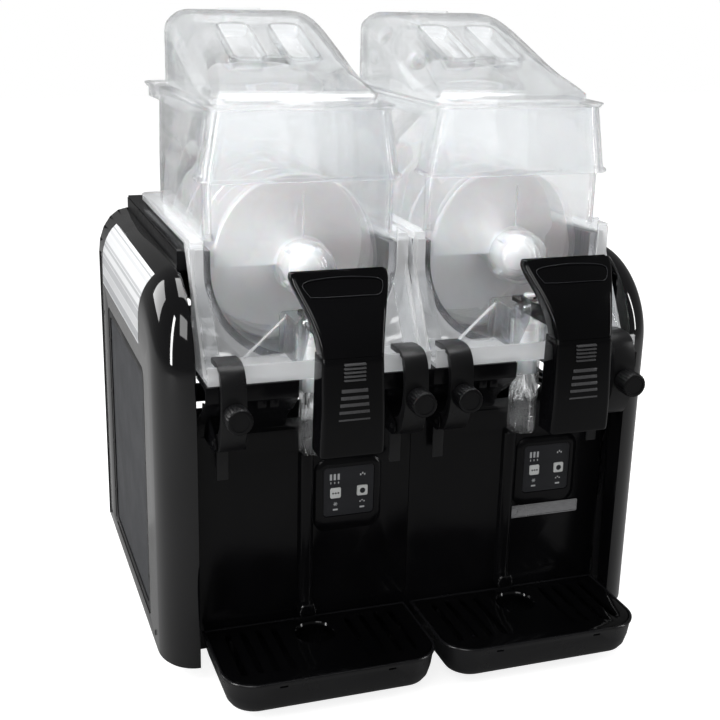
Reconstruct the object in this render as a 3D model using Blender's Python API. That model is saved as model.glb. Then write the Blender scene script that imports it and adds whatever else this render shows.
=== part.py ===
"""Twin-bowl frozen drink dispenser, built as an assembly of separate solids.

Metres, +Z up, front towards -Y. The origin is on the floor, under the middle of the machine.
Each of the two bays is modelled in its own coordinates, with x = 0 at the middle of its bowl,
and hangs on an empty at the bay's place.
"""

import math

import bmesh
import bpy
from mathutils import Matrix, Vector

# Driving dimensions of the whole machine
WIDTH = 0.540
HALF_DEPTH = 0.262
PITCH = 0.230
FOOT_HEIGHT = 0.022
GAP = 0.0003
SHEET = 0.003

# Casing
BODY_FRONT = -0.145
SHOULDER_TOP = 0.424
SHOULDER_START = 0.330
SHOULDER_REACH = 0.095
PANEL_INNER = 0.234
PANEL_BACK = HALF_DEPTH - SHEET - GAP
FACE_Y = -0.112
RAIL_Y = -0.167
RAIL_TOP = 0.3305

# Bowl, auger and lid, in bay coordinates
AXIS_Z = 0.4255
BOWL_FRONT = -0.0932
BOWL_BACK = 0.186
BOWL_HALF = 0.098
BOWL_WALL = 0.003
BOWL_RIM = 0.577
DRAFT = 0.12
DRAFT_LOW = 0.505
FLANGE_HALF = 0.112
FLANGE_LOW = 0.4465
FLANGE_TOP = 0.454
LEDGE_FRONT = -0.165
LEDGE_LOW = 0.331
EVAP_INNER = 0.092
EVAP_OUTER = 0.108
EVAP_TOP = 0.4437
AUGER_RADIUS = 0.088
AUGER_TURNS = 3.5
LID_RIDGE = 0.661
APRON_LOW = 0.510

# Tap
TAP_Y = -0.138
TAP_OUTER = 0.0150
TAP_BORE = 0.0120
TAP_LOW = 0.2455
TAP_TOP = 0.383
PASSAGE_Z = 0.3500
PIVOT_Y = -0.168
PIVOT_Z = 0.3875

# Drip tray
TRAY_HALF = 0.112
TRAY_FRONT = -0.236
TRAY_BACK = -0.1185
TRAY_LOW = 0.009
TRAY_TOP = 0.049
TRAY_CORNER = 0.035

BAYS = {"left": -PITCH / 2, "right": PITCH / 2}


def clear_scene():
    for old in list(bpy.data.objects):
        bpy.data.objects.remove(old, do_unlink=True)


def material(name, colour, roughness, metallic=0.0, transmission=0.0):
    made = bpy.data.materials.new(name)
    made.use_nodes = True
    shader = made.node_tree.nodes["Principled BSDF"]
    shader.inputs["Base Color"].default_value = (*colour, 1.0)
    shader.inputs["Roughness"].default_value = roughness
    shader.inputs["Metallic"].default_value = metallic
    shader.inputs["Transmission Weight"].default_value = transmission
    made.diffuse_color = (*colour, 1.0)
    return made


def make_materials():
    return {
        "gloss_black": material("gloss_black", (0.012, 0.012, 0.013), 0.12),
        "matte_black": material("matte_black", (0.016, 0.016, 0.018), 0.42),
        "dark_grey": material("dark_grey", (0.085, 0.088, 0.095), 0.55),
        "rubber": material("rubber", (0.02, 0.02, 0.02), 0.8),
        "clear": material("clear", (0.93, 0.95, 0.96), 0.05, transmission=0.95),
        "white": material("white", (0.86, 0.87, 0.87), 0.35),
        "steel": material("steel", (0.62, 0.62, 0.63), 0.25, metallic=1.0),
        "machinery": material("machinery", (0.05, 0.05, 0.055), 0.5, metallic=0.6),
        "gasket": material("gasket", (0.78, 0.78, 0.76), 0.6),
    }


def link_object(name, bm, look, parent=None, origin=(0.0, 0.0, 0.0)):
    """Makes an object of bm, whose points are in the parent's coordinates, with its origin there."""
    bmesh.ops.recalc_face_normals(bm, faces=bm.faces)
    bmesh.ops.translate(bm, verts=bm.verts, vec=-Vector(origin))
    mesh = bpy.data.meshes.new(name)
    bm.to_mesh(mesh)
    bm.free()
    made = bpy.data.objects.new(name, mesh)
    made.location = origin
    made.parent = parent
    bpy.context.scene.collection.objects.link(made)
    if look is not None:
        mesh.materials.append(look)
    return made


def helper(name, bm, parent=None):
    """A cutter or an addition, which only its Boolean shows."""
    made = link_object(name, bm, None, parent)
    made.hide_render = True
    made.display_type = "WIRE"
    return made


def boolean(target, other, operation):
    step = target.modifiers.new(operation.lower() + "_" + other.name, "BOOLEAN")
    step.operation = operation
    step.solver = "EXACT"
    step.object = other


def cut(target, bm):
    boolean(target, helper(target.name + "_cut", bm, target.parent), "DIFFERENCE")


def join(target, bm):
    boolean(target, helper(target.name + "_add", bm, target.parent), "UNION")


def smooth(target, degrees=35):
    target.data.shade_smooth()
    target.data.set_sharp_from_angle(angle=math.radians(degrees))


def add_loft(bm, rings):
    """A closed solid through rings of points, each ring with as many points as the others."""
    loops = [[bm.verts.new(point) for point in ring] for ring in rings]
    count = len(rings[0])
    for near, far in zip(loops, loops[1:]):
        for i in range(count):
            bm.faces.new((near[i], near[(i + 1) % count], far[(i + 1) % count], far[i]))
    bm.faces.new(loops[0])
    bm.faces.new(loops[-1])
    return bm


def add_box(bm, x, y, z):
    """A box from its extent along each axis."""
    rings = [[(a, b, c) for a, b in ((x[0], y[0]), (x[1], y[0]), (x[1], y[1]), (x[0], y[1]))] for c in z]
    return add_loft(bm, rings)


def placed(axis, along, a, b):
    """A point from its place along an axis and its two other coordinates, in their order."""
    order = {"x": (along, a, b), "y": (a, along, b), "z": (a, b, along)}
    return order[axis]


def add_prism(bm, outline, axis, start, end):
    return add_loft(bm, [[placed(axis, at, a, b) for a, b in outline] for at in (start, end)])


def circle(centre, radius, count):
    turn = 2 * math.pi / count
    return [(centre[0] + radius * math.cos(turn * i), centre[1] + radius * math.sin(turn * i))
            for i in range(count)]


def add_turned(bm, axis, centre, profile, count=24):
    """A solid turned round an axis: profile holds (along, radius) from one end to the other."""
    return add_loft(bm, [[placed(axis, at, a, b) for a, b in circle(centre, radius, count)]
                         for at, radius in profile])


def arc(centre, radii, start, end, steps):
    """Points on an ellipse from one angle to another, in degrees."""
    angles = [math.radians(start + (end - start) * i / steps) for i in range(steps + 1)]
    return [(centre[0] + radii[0] * math.cos(t), centre[1] + radii[1] * math.sin(t)) for t in angles]


def rounded_rectangle(x, y, radius, steps=4):
    corners = (((x[1] - radius, y[0] + radius), -90), ((x[1] - radius, y[1] - radius), 0),
               ((x[0] + radius, y[1] - radius), 90), ((x[0] + radius, y[0] + radius), 180))
    return [point for centre, start in corners
            for point in arc(centre, (radius, radius), start, start + 90, steps)]


# ---------------------------------------------------------------- casing


def side_block(side, inset, x_start, low, back):
    """The rounded outer form of a side panel from x_start outwards, made smaller by inset all round."""
    rings = []
    steps = 5
    for number in range(steps + 1):
        angle = math.pi / 2 * number / steps
        front_inset = inset + 0.046 * (1 - math.cos(angle))
        top_inset = inset + 0.054 * (1 - math.cos(angle))
        x = x_start + (WIDTH / 2 - inset - x_start) * math.sin(angle)
        centre = (BODY_FRONT + SHOULDER_REACH, SHOULDER_START)
        radii = (SHOULDER_REACH - front_inset, SHOULDER_TOP - SHOULDER_START - top_inset)
        outline = [(BODY_FRONT + front_inset, low)]
        outline += arc(centre, radii, 180, 90, 7)
        outline += [(back, SHOULDER_TOP - top_inset), (back, low)]
        rings.append([(side * x, y, z) for y, z in outline])
    return add_loft(bmesh.new(), rings)


FILTER_Y = (-0.060, 0.204)
FILTER_Z = (0.034, 0.322)


def side_panel(name, side, look):
    panel = link_object(name, side_block(side, 0.0, PANEL_INNER, FOOT_HEIGHT, PANEL_BACK), look)
    inner_face = PANEL_INNER + SHEET
    cut(panel, side_block(side, SHEET, inner_face, FOOT_HEIGHT - 0.01, PANEL_BACK + 0.01))
    x = sorted((side * (PANEL_INNER - 0.01), side * (inner_face + 0.002)))
    cut(panel, add_box(bmesh.new(), x, (-0.108, PANEL_BACK + 0.01), (FOOT_HEIGHT - 0.01, 0.400)))
    return panel


def filter_opening(panel, side):
    opening = rounded_rectangle((FILTER_Y[0] + 0.004, FILTER_Y[1] - 0.004),
                                (FILTER_Z[0] + 0.004, FILTER_Z[1] - 0.004), 0.008, 2)
    cut(panel, add_prism(bmesh.new(), opening, "x", side * 0.25, side * 0.28))


def louvre_openings(panel, side):
    """Eight horizontal outlet slots."""
    slots = bmesh.new()
    for i in range(8):
        low = 0.060 + 0.032 * i
        add_box(slots, sorted((side * 0.25, side * 0.28)), (-0.03, 0.19), (low, low + 0.012))
    cut(panel, slots)


def air_filter(look):
    """The mesh frame that fills the opening of the left side panel from the inside."""
    x = (-WIDTH / 2 + SHEET + GAP, -WIDTH / 2 + SHEET + GAP + 0.003)
    outline = rounded_rectangle(FILTER_Y, FILTER_Z, 0.010, 2)
    body = add_prism(bmesh.new(), outline, "x", *x)
    frame = link_object("air_filter", body, look)
    raised = rounded_rectangle((FILTER_Y[0] + 0.006, FILTER_Y[1] - 0.006),
                               (FILTER_Z[0] + 0.006, FILTER_Z[1] - 0.006), 0.008, 2)
    join(frame, add_prism(bmesh.new(), raised, "x", -WIDTH / 2 + 0.0008, x[1]))
    return frame


def rear_panel(look):
    """A flat sheet over the back, with outlet slots and the cord's gland."""
    radii = (WIDTH / 2 - PANEL_INNER, 0.054)
    half = WIDTH / 2
    outline = [(-half, FOOT_HEIGHT), (half, FOOT_HEIGHT)]
    outline += arc((PANEL_INNER, SHOULDER_TOP - radii[1]), radii, 0, 90, 5)
    outline += arc((-PANEL_INNER, SHOULDER_TOP - radii[1]), radii, 90, 180, 5)
    panel = link_object("rear_panel", add_prism(bmesh.new(), outline, "y", HALF_DEPTH - SHEET, HALF_DEPTH), look)
    slots = bmesh.new()
    for column in (-0.155, 0.0, 0.155):
        for row in range(6):
            low = 0.120 + 0.035 * row
            add_box(slots, (column - 0.055, column + 0.055), (0.25, 0.27), (low, low + 0.010))
    add_turned(slots, "y", (0.190, 0.060), [(0.25, 0.006), (0.27, 0.006)], 16)
    cut(panel, slots)
    gland = add_turned(bmesh.new(), "y", (0.190, 0.060), [(0.244, 0.013), (HALF_DEPTH - 0.001, 0.013)], 16)
    join(panel, gland)
    cut(panel, add_turned(bmesh.new(), "y", (0.190, 0.060), [(0.24, 0.006), (0.27, 0.006)], 16))
    return panel


def base_pan(look):
    inner = WIDTH / 2 - SHEET - 0.001
    pan = link_object("base_pan", add_box(bmesh.new(), (-inner, inner), (-0.101, 0.257),
                                          (FOOT_HEIGHT, 0.0335)), look)
    wall = 0.002
    cut(pan, add_box(bmesh.new(), (wall - inner, inner - wall), (wall - 0.101, 0.257 - wall), (0.0245, 0.06)))
    return pan


def foot(name, x, y, look):
    profile = [(0.0, 0.016), (0.004, 0.018), (FOOT_HEIGHT - GAP, 0.014)]
    made = link_object(name, add_turned(bmesh.new(), "z", (0, 0), profile, 20), look)
    made.location = (x, y, 0)
    smooth(made)
    return made


def top_deck(look):
    """The deck round the bowls: rails beside them, and the two gear motor housings behind them."""
    deck_half = PANEL_INNER - GAP
    deck = link_object("top_deck", add_box(bmesh.new(), (-deck_half, deck_half), (-0.058, 0.2583),
                                           (0.418, 0.437)), look)
    openings = bmesh.new()
    for x in BAYS.values():
        add_box(openings, (x - 0.109, x + 0.109), (-0.07, 0.1895), (0.40, 0.45))
    cut(deck, openings)
    cut(deck, add_box(bmesh.new(), (-0.222, 0.222), (0.20, 0.26), (0.4215, 0.45)))
    housings = bmesh.new()
    for x in BAYS.values():
        outline = rounded_rectangle((x - 0.058, x + 0.058), (0.380, 0.489), 0.02, 3)
        add_prism(housings, outline, "y", 0.2005, 0.2583)
    join(deck, housings)
    hollows = bmesh.new()
    for x in BAYS.values():
        outline = rounded_rectangle((x - 0.054, x + 0.054), (0.360, 0.485), 0.017, 3)
        add_prism(hollows, outline, "y", 0.2035, 0.27)
    cut(deck, hollows)
    hub_holes = bmesh.new()
    for x in BAYS.values():
        add_turned(hub_holes, "y", (x, AXIS_Z), [(0.185, 0.0190), (0.205, 0.0190)], 20)
    cut(deck, hub_holes)
    return deck


def front_panel(side, bay, look):
    """One bay's front: a rail under the bowl, a swept face, and the round channel below the tap."""
    curve = arc((FACE_Y - 0.045, 0.235), (0.045, 0.062), 75, 0, 4)
    outer = [(-0.125, RAIL_TOP), (RAIL_Y, RAIL_TOP), (RAIL_Y, RAIL_TOP - 0.016)] + curve + [(FACE_Y, 0.024)]
    inner = [(-0.125, RAIL_TOP - SHEET), (RAIL_Y + SHEET, RAIL_TOP - SHEET), (RAIL_Y + SHEET, RAIL_TOP - 0.0146)]
    inner += [(y + SHEET, z + 0.002) for y, z in curve] + [(FACE_Y + SHEET, 0.024)]
    half = PITCH / 2 - GAP
    body = add_prism(bmesh.new(), outer + inner[::-1], "x", -half, half)
    panel = link_object("front_panel_" + side, body, look, bay)
    channel = add_turned(bmesh.new(), "z", (0, FACE_Y), [(0.055, 0.0085), (0.235, 0.0085)], 16)
    join(panel, channel)
    spout = [(-0.0095, -0.1285), (0.0095, -0.1285), (0.0095, -0.110), (-0.0095, -0.110)]
    join(panel, add_prism(bmesh.new(), spout, "z", 0.0535, 0.058))
    lugs = bmesh.new()
    for x in (-0.091, 0.091):
        for offset in (-0.0155, 0.0135):
            outline = [(-0.110, 0.263), (-0.161, 0.263), (-0.165, 0.272), (-0.160, 0.281), (-0.130, 0.296),
                       (-0.110, 0.296)]
            add_prism(lugs, outline, "x", x + offset, x + offset + 0.002)
    join(panel, lugs)
    cut(panel, add_box(bmesh.new(), (-0.024, 0.024), (-0.175, -0.1185), (0.240, 0.34)))
    cut(panel, add_turned(bmesh.new(), "x", CLAMP_PIVOT, [(-0.112, 0.0030), (0.112, 0.0030)], 12))
    return panel


# ---------------------------------------------------------------- cooling and drive


def trough_outline(radius, steps=16):
    """A half circle with upright sides above it."""
    return arc((0, AXIS_Z), (radius, radius), 180, 360, steps) + [(radius, 0.47), (-radius, 0.47)]


def evaporator(side, bay, look):
    """The thick stainless half-round trough under the auger, with its shaft hub at the back."""
    front = BOWL_FRONT + BOWL_WALL + GAP
    body = add_prism(bmesh.new(), trough_outline(EVAP_OUTER), "y", front, 0.1885)
    trough = link_object("evaporator_" + side, body, look, bay)
    cut(trough, add_box(bmesh.new(), (-0.2, 0.2), (-0.2, 0.3), (EVAP_TOP, 0.5)))
    cut(trough, add_prism(bmesh.new(), trough_outline(EVAP_INNER), "y", front - 0.01, 0.1830))
    join(trough, add_turned(bmesh.new(), "y", (0, AXIS_Z), [(0.1830, 0.0170), (0.2000, 0.0170)], 20))
    cut(trough, add_turned(bmesh.new(), "y", (0, AXIS_Z), [(0.17, 0.0088), (0.21, 0.0088)], 16))
    return trough


def gear_motor(side, bay, look):
    profile = [(0.2068, 0.022), (0.2110, 0.022), (0.2111, 0.034), (0.2480, 0.034), (0.2520, 0.028)]
    motor = link_object("gear_motor_" + side, add_turned(bmesh.new(), "y", (0, AXIS_Z), profile, 20),
                        look, bay)
    smooth(motor)
    return motor


def compressor(look):
    profile = [(0.0250, 0.066), (0.0350, 0.072), (0.1400, 0.072), (0.1700, 0.060), (0.1850, 0.030)]
    made = link_object("compressor", add_turned(bmesh.new(), "z", (0.100, 0.090), profile, 24), look)
    smooth(made)
    return made


def condenser(look):
    """The block of fins behind the air filter."""
    return link_object("condenser", add_box(bmesh.new(), (-0.258, -0.228), (-0.050, 0.195), (0.036, 0.300)),
                       look)


FAN_CENTRE = (0.0725, 0.173)


def fan_motor(look):
    profile = [(-0.196, 0.014), (-0.1959, 0.028), (-0.150, 0.028), (-0.146, 0.022)]
    motor = link_object("fan_motor", add_turned(bmesh.new(), "x", FAN_CENTRE, profile, 20), look)
    legs = add_box(bmesh.new(), (-0.178, -0.166), (FAN_CENTRE[0] - 0.008, FAN_CENTRE[0] + 0.008),
                   (0.0250, FAN_CENTRE[1]))
    join(motor, legs)
    return motor


def fan_blade(look):
    """A hub with five pitched blades, which draws air through the condenser."""
    origin = (-0.210, FAN_CENTRE[0], FAN_CENTRE[1])
    hub = add_turned(bmesh.new(), "x", FAN_CENTRE, [(-0.2225, 0.018), (-0.1965, 0.020)], 20)
    fan = link_object("fan_blade", hub, look, None, origin)
    for i in range(5):
        blade = bmesh.new()
        rings = []
        for radius, twist, chord in ((0.012, 38, 0.016), (0.050, 26, 0.026), (0.088, 18, 0.034)):
            turn = Matrix.Rotation(math.radians(twist), 3, "Z")
            ring = []
            for along, thick in ((-1, -1), (1, -1), (1, 1), (-1, 1)):
                flat = turn @ Vector((thick * 0.001, along * chord / 2, 0))
                ring.append(Vector((flat.x, flat.y, radius)))
            rings.append(ring)
        add_loft(blade, rings)
        spin = Matrix.Rotation(math.radians(72 * i), 4, "X")
        bmesh.ops.transform(blade, matrix=Matrix.Translation(origin) @ spin, verts=blade.verts)
        join(fan, blade)
    return fan


def drive_shaft(side, bay, look):
    profile = [(0.1200, 0.0080), (0.2065, 0.0080)]
    shaft = link_object("drive_shaft_" + side, add_turned(bmesh.new(), "y", (0, AXIS_Z), profile, 16),
                        look, bay, (0, 0.16, AXIS_Z))
    smooth(shaft)
    return shaft


# ---------------------------------------------------------------- auger


def add_helix(bm, inner, outer, start, end, turns, thickness, first):
    """A spiral blade round the auger's axis, square in section."""
    steps = int(20 * turns)
    rings = []
    for i in range(steps + 1):
        angle = first - 2 * math.pi * turns * i / steps
        y = start + (end - start) * i / steps
        direction = Vector((math.cos(angle), 0, math.sin(angle)))
        axis = Vector((0, 0, AXIS_Z))
        ring = []
        for radius, shift in ((inner, 0), (outer, 0), (outer, thickness), (inner, thickness)):
            ring.append(axis + direction * radius + Vector((0, y + shift, 0)))
        rings.append(ring)
    return add_loft(bm, rings)


def auger(side, bay, look):
    """Hollow core and spiral blade; its blade starts level, pointing to the left."""
    origin = (0, 0.04, AXIS_Z)
    core = add_turned(bmesh.new(), "y", (0, AXIS_Z), [(-0.0840, 0.017), (0.1780, 0.017)], 20)
    made = link_object("auger_" + side, core, look, bay, origin)
    join(made, add_helix(bmesh.new(), 0.013, AUGER_RADIUS, -0.0835, 0.1700, AUGER_TURNS, 0.004,
                         math.pi))
    cut(made, add_turned(bmesh.new(), "y", (0, AXIS_Z), [(0.1180, 0.0084), (0.19, 0.0084)], 16))
    return made


def auger_nut(side, bay, look):
    profile = [(-0.1250, 0.004), (-0.1230, 0.010), (-0.1180, 0.016), (-0.1110, 0.0205), (-0.0990, 0.022),
               (-0.0860, 0.019), (-0.0843, 0.017)]
    nut = link_object("auger_nut_" + side, add_turned(bmesh.new(), "y", (0, AXIS_Z), profile, 20),
                      look, bay, (0, -0.10, AXIS_Z))
    smooth(nut, 50)
    return nut


# ---------------------------------------------------------------- bowl and lid


WEB_OUTLINE = [(-0.050, FLANGE_LOW), (-0.050, FLANGE_TOP), (-0.062, FLANGE_TOP), (-0.145, LEDGE_LOW + 0.002),
               (-0.145, LEDGE_LOW), (-0.0915, LEDGE_LOW), (-0.0915, 0.4000), (-0.0600, FLANGE_LOW)]
SLOPE_OUTLINE = [(-0.0915, 0.4120), (-0.1440, 0.3350), (-0.1440, 0.3315), (-0.0915, 0.4060)]


def drawn_in(outline, levels):
    """A solid through an outline at each level: above DRAFT_LOW its sides close in towards the front."""
    rings = []
    for z in levels:
        closed = DRAFT * max(0.0, (z - DRAFT_LOW) / (BOWL_RIM - DRAFT_LOW))
        rings.append([(x * (1 - closed * (BOWL_BACK - y) / (BOWL_BACK - BOWL_FRONT)), y, z) for x, y in outline])
    solid = add_loft(bmesh.new(), rings)
    bmesh.ops.triangulate(solid, faces=solid.faces)
    return solid


def bowl(side, bay, look):
    """The clear bowl: walls, bottom flange, half-round front plate, ledge and the auger's nose."""
    outline = rounded_rectangle((-BOWL_HALF, BOWL_HALF), (BOWL_FRONT, BOWL_BACK), 0.014, 3)
    made = link_object("bowl_" + side, drawn_in(outline, (FLANGE_LOW, DRAFT_LOW, BOWL_RIM)), look, bay)
    frame = add_box(bmesh.new(), (-FLANGE_HALF, FLANGE_HALF), (-0.0925, 0.1975), (FLANGE_LOW, FLANGE_TOP))
    join(made, frame)
    join(made, add_box(bmesh.new(), (-0.0975, 0.0975), (BOWL_FRONT, -0.0902), (0.390, 0.450)))
    plate = arc((0, AXIS_Z), (0.1065, 0.1065), 205, 335, 20) + [(0.0965, 0.400), (-0.0965, 0.400)]
    join(made, add_prism(bmesh.new(), plate, "y", BOWL_FRONT, -0.0902))
    cut(made, add_box(bmesh.new(), (-0.2, 0.2), (-0.1, -0.08), (0.30, LEDGE_LOW)))
    join(made, add_box(bmesh.new(), (-FLANGE_HALF, FLANGE_HALF), (LEDGE_FRONT, -0.0910),
                       (LEDGE_LOW, 0.3365)))
    join(made, add_box(bmesh.new(), (-FLANGE_HALF, FLANGE_HALF), (LEDGE_FRONT, -0.1600),
                       (LEDGE_LOW, 0.3450)))
    webs = bmesh.new()
    for x in (-FLANGE_HALF, FLANGE_HALF - 0.0034):
        add_prism(webs, WEB_OUTLINE, "x", x, x + 0.0034)
    join(made, webs)
    slopes = bmesh.new()
    for x in (-0.1105, 0.0940):
        add_prism(slopes, SLOPE_OUTLINE, "x", x, x + 0.0165)
    join(made, slopes)
    inside = rounded_rectangle((BOWL_WALL - BOWL_HALF, BOWL_HALF - BOWL_WALL),
                               (-0.0902, BOWL_BACK - BOWL_WALL), 0.011, 3)
    cut(made, drawn_in(inside, (0.440, DRAFT_LOW, 0.60)))
    nose = [(-0.1340, 0.008), (-0.1300, 0.018), (-0.1235, 0.025), (-0.1150, 0.028), (-0.0915, 0.030)]
    join(made, add_turned(bmesh.new(), "y", (0, AXIS_Z), nose, 24))
    hollow = [(-0.1310, 0.006), (-0.1270, 0.015), (-0.1215, 0.0215), (-0.1140, 0.0248), (-0.080, 0.0268)]
    cut(made, add_turned(bmesh.new(), "y", (0, AXIS_Z), hollow, 20))
    cut(made, add_turned(bmesh.new(), "y", (0, PASSAGE_Z), [(-0.1, 0.0062), (-0.08, 0.0062)], 12))
    cut(made, add_turned(bmesh.new(), "z", (0, TAP_Y), [(0.32, 0.0165), (0.34, 0.0165)], 24))
    return made


def tap_body(side, bay, look):
    """The clear tap: its upright tube, the passage from the bowl and the lugs that carry the lever."""
    tube = [(TAP_LOW, 0.0138), (TAP_LOW + 0.0015, TAP_OUTER), (0.338, TAP_OUTER), (0.346, 0.0180),
            (0.374, 0.0180), (TAP_TOP, 0.0130)]
    made = link_object("tap_body_" + side, add_turned(bmesh.new(), "z", (0, TAP_Y), tube, 24), look, bay)
    join(made, add_turned(bmesh.new(), "y", (0, PASSAGE_Z), [(TAP_Y, 0.0100), (-0.0945, 0.0100)], 16))
    join(made, add_box(bmesh.new(), (-0.0240, 0.0240), (-0.0970, -0.0935), (0.3375, 0.3800)))
    lugs = bmesh.new()
    for x in (-0.0200, 0.0170):
        outline = [(-0.0950, 0.3380), (-0.150, 0.3380), (-0.1760, 0.378), (-0.1765, 0.392), (-0.1720, 0.3955),
                   (-0.1630, 0.3955), (-0.140, 0.3780), (-0.0950, 0.3780)]
        add_prism(lugs, outline, "x", x, x + 0.003)
    join(made, lugs)
    cut(made, add_turned(bmesh.new(), "z", (0, TAP_Y), [(0.24, TAP_BORE), (0.3798, TAP_BORE)], 20))
    cut(made, add_turned(bmesh.new(), "z", (0, TAP_Y), [(0.37, 0.0045), (0.40, 0.0045)], 12))
    cut(made, add_turned(bmesh.new(), "y", (0, PASSAGE_Z), [(TAP_Y, 0.0062), (-0.08, 0.0062)], 12))
    cut(made, add_turned(bmesh.new(), "x", (PIVOT_Y, PIVOT_Z), [(-0.03, 0.0030), (0.03, 0.0030)], 12))
    return made


def bowl_gasket(side, bay, look):
    """The flat seal between the trough's rim and the bowl's flange, open at the front."""
    outer = FLANGE_HALF - 0.006
    inner = EVAP_INNER + 0.007
    outline = [(-outer, -0.0895), (-inner, -0.0895), (-inner, 0.1845), (inner, 0.1845), (inner, -0.0895),
               (outer, -0.0895), (outer, 0.1870), (-outer, 0.1870)]
    return link_object("bowl_gasket_" + side,
                       add_prism(bmesh.new(), outline, "z", EVAP_TOP + GAP, FLANGE_LOW - GAP), look, bay)


def dome_outline(inset):
    """The lid's dome from the side: a steep back, a flat ridge and a long slope to the front."""
    low = 0.5775 if inset == 0 else 0.5700
    top = LID_RIDGE - inset
    front = -0.084 + inset
    back = 0.1865 - inset
    points = [(front, low), (front, 0.584 - inset * 0.6), (-0.060, 0.596 - inset)]
    points += [(0.000, 0.6195 - inset), (0.060, 0.6400 - inset), (0.105, 0.6530 - inset)]
    points += [(0.140, top - 0.001), (0.160, top), (back - 0.012, top), (back - 0.004, top - 0.004)]
    points += [(back, top - 0.014), (back, low)]
    return points


def dome_rings(inset):
    """The dome's cross rings: rounded over towards both sides."""
    half = 0.0865 - inset
    rings = []
    for angle in (-90, -60, -30, 0):
        lean = 0.024 * (1 - math.cos(math.radians(angle)))
        x = -half + 0.024 * (1 + math.sin(math.radians(angle)))
        rings.append((x, lean))
    rings += [(-x, lean) for x, lean in reversed(rings)]
    solid_rings = []
    for x, lean in rings:
        ring = []
        for y, z in dome_outline(inset):
            drop = lean if z > 0.600 else 0.0
            ring.append((x, y, z - drop))
        solid_rings.append(ring)
    return solid_rings


def lid(side, bay, look):
    """The clear lid: dome, ledge, shallow skirt and a deep apron over the bowl's front."""
    origin = (0, 0.045, 0.5773)
    made = link_object("lid_" + side, add_loft(bmesh.new(), dome_rings(0.0)), look, bay, origin)
    ledge = rounded_rectangle((-0.1045, 0.1045), (-0.1080, 0.2010), 0.022, 3)
    join(made, drawn_in(ledge, (BOWL_RIM + GAP, 0.5805)))
    outer = rounded_rectangle((-0.1025, 0.1025), (-0.1050, 0.1980), 0.020, 3)
    join(made, drawn_in(outer, (APRON_LOW, 0.5795)))
    skirt = rounded_rectangle((-0.0998, 0.0998), (-0.1020, 0.1950), 0.017, 3)
    cut(made, drawn_in(skirt, (0.495, DRAFT_LOW, BOWL_RIM + GAP)))
    cut(made, add_box(bmesh.new(), (-0.12, 0.12), (-0.070, 0.22), (0.50, 0.566)))
    cut(made, add_loft(bmesh.new(), dome_rings(0.003)))
    join(made, add_box(bmesh.new(), (-0.022, 0.022), (0.1640, 0.1720), (0.6590, 0.6630)))
    return made


# ---------------------------------------------------------------- tap


def tap_lever(side, bay, look):
    """The pull handle: a hollow flared head, and two cheeks that reach back to its pivot pin."""
    origin = (0, PIVOT_Y, PIVOT_Z)
    stations = [(0.3795, -0.2575, 0.0290, 0.022), (0.3960, -0.2520, 0.0315, 0.022),
                (0.4150, -0.2400, 0.0370, 0.022), (0.4320, -0.2255, 0.0430, 0.020),
                (0.4460, -0.2135, 0.0465, 0.014), (0.4560, -0.2065, 0.0400, 0.006)]
    rings = [[(-w, y, z), (w, y, z), (w, y + d, z), (-w, y + d, z)] for z, y, w, d in stations]
    lever = link_object("tap_lever_" + side, add_loft(bmesh.new(), rings), look, bay, origin)
    wall = 0.003
    hollow = [[(wall - w, y + wall, z), (w - wall, y + wall, z), (w - wall, y + d + 0.004, z),
               (wall - w, y + d + 0.004, z)] for z, y, w, d in stations[:-1]]
    hollow[0] = [(x, y, z + wall) for x, y, z in hollow[0]]
    cut(lever, add_loft(bmesh.new(), hollow))
    cheeks = bmesh.new()
    for x in (-0.0155, 0.0125):
        outline = [(-0.2545, 0.3800), (-0.2470, 0.4040), (-0.2360, 0.4040), (-0.1760, 0.3945), (-0.1500, 0.3945),
                   (-0.1500, 0.3855), (-0.1600, 0.3800), (-0.2300, 0.3800)]
        add_prism(cheeks, outline, "x", x, x + 0.003)
    join(lever, cheeks)
    fork = rounded_rectangle((-0.0150, 0.0150), (-0.1615, -0.1250), 0.004, 2)
    join(lever, add_prism(bmesh.new(), fork, "z", PIVOT_Z - 0.002, PIVOT_Z + 0.002))
    cut(lever, add_turned(bmesh.new(), "z", (0, TAP_Y), [(0.38, 0.0074), (0.40, 0.0074)], 16))
    join(lever, add_turned(bmesh.new(), "x", (PIVOT_Y, PIVOT_Z), [(-0.0215, 0.0026), (0.0215, 0.0026)], 12))
    return lever


def tap_cover(side, bay, look):
    """The ribbed lower half of the handle, open at the back."""
    origin = (0, PIVOT_Y, PIVOT_Z)
    stations = [(0.2870, -0.2600, 0.0305), (0.3200, -0.2610, 0.0300), (0.3792, -0.2578, 0.0290)]
    rings = [[(-w, y, z), (w, y, z), (w, -0.2310, z), (-w, -0.2310, z)] for z, y, w in stations]
    cover = link_object("tap_cover_" + side, add_loft(bmesh.new(), rings), look, bay, origin)
    cut(cover, add_box(bmesh.new(), (-0.0262, 0.0262), (-0.2545, -0.22), (0.2900, 0.3760)))
    ribs = bmesh.new()
    for i in range(5):
        low = 0.3590 + 0.0036 * i
        add_box(ribs, (-0.0100, 0.0100), (-0.2619, -0.2560), (low, low + 0.0015))
    for i in range(5):
        low = 0.3215 + 0.0066 * i
        half = 0.0150 - 0.0007 * i
        add_box(ribs, (-half, half), (-0.2620, -0.2560), (low, low + 0.0018))
    join(cover, ribs)
    return cover


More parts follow.
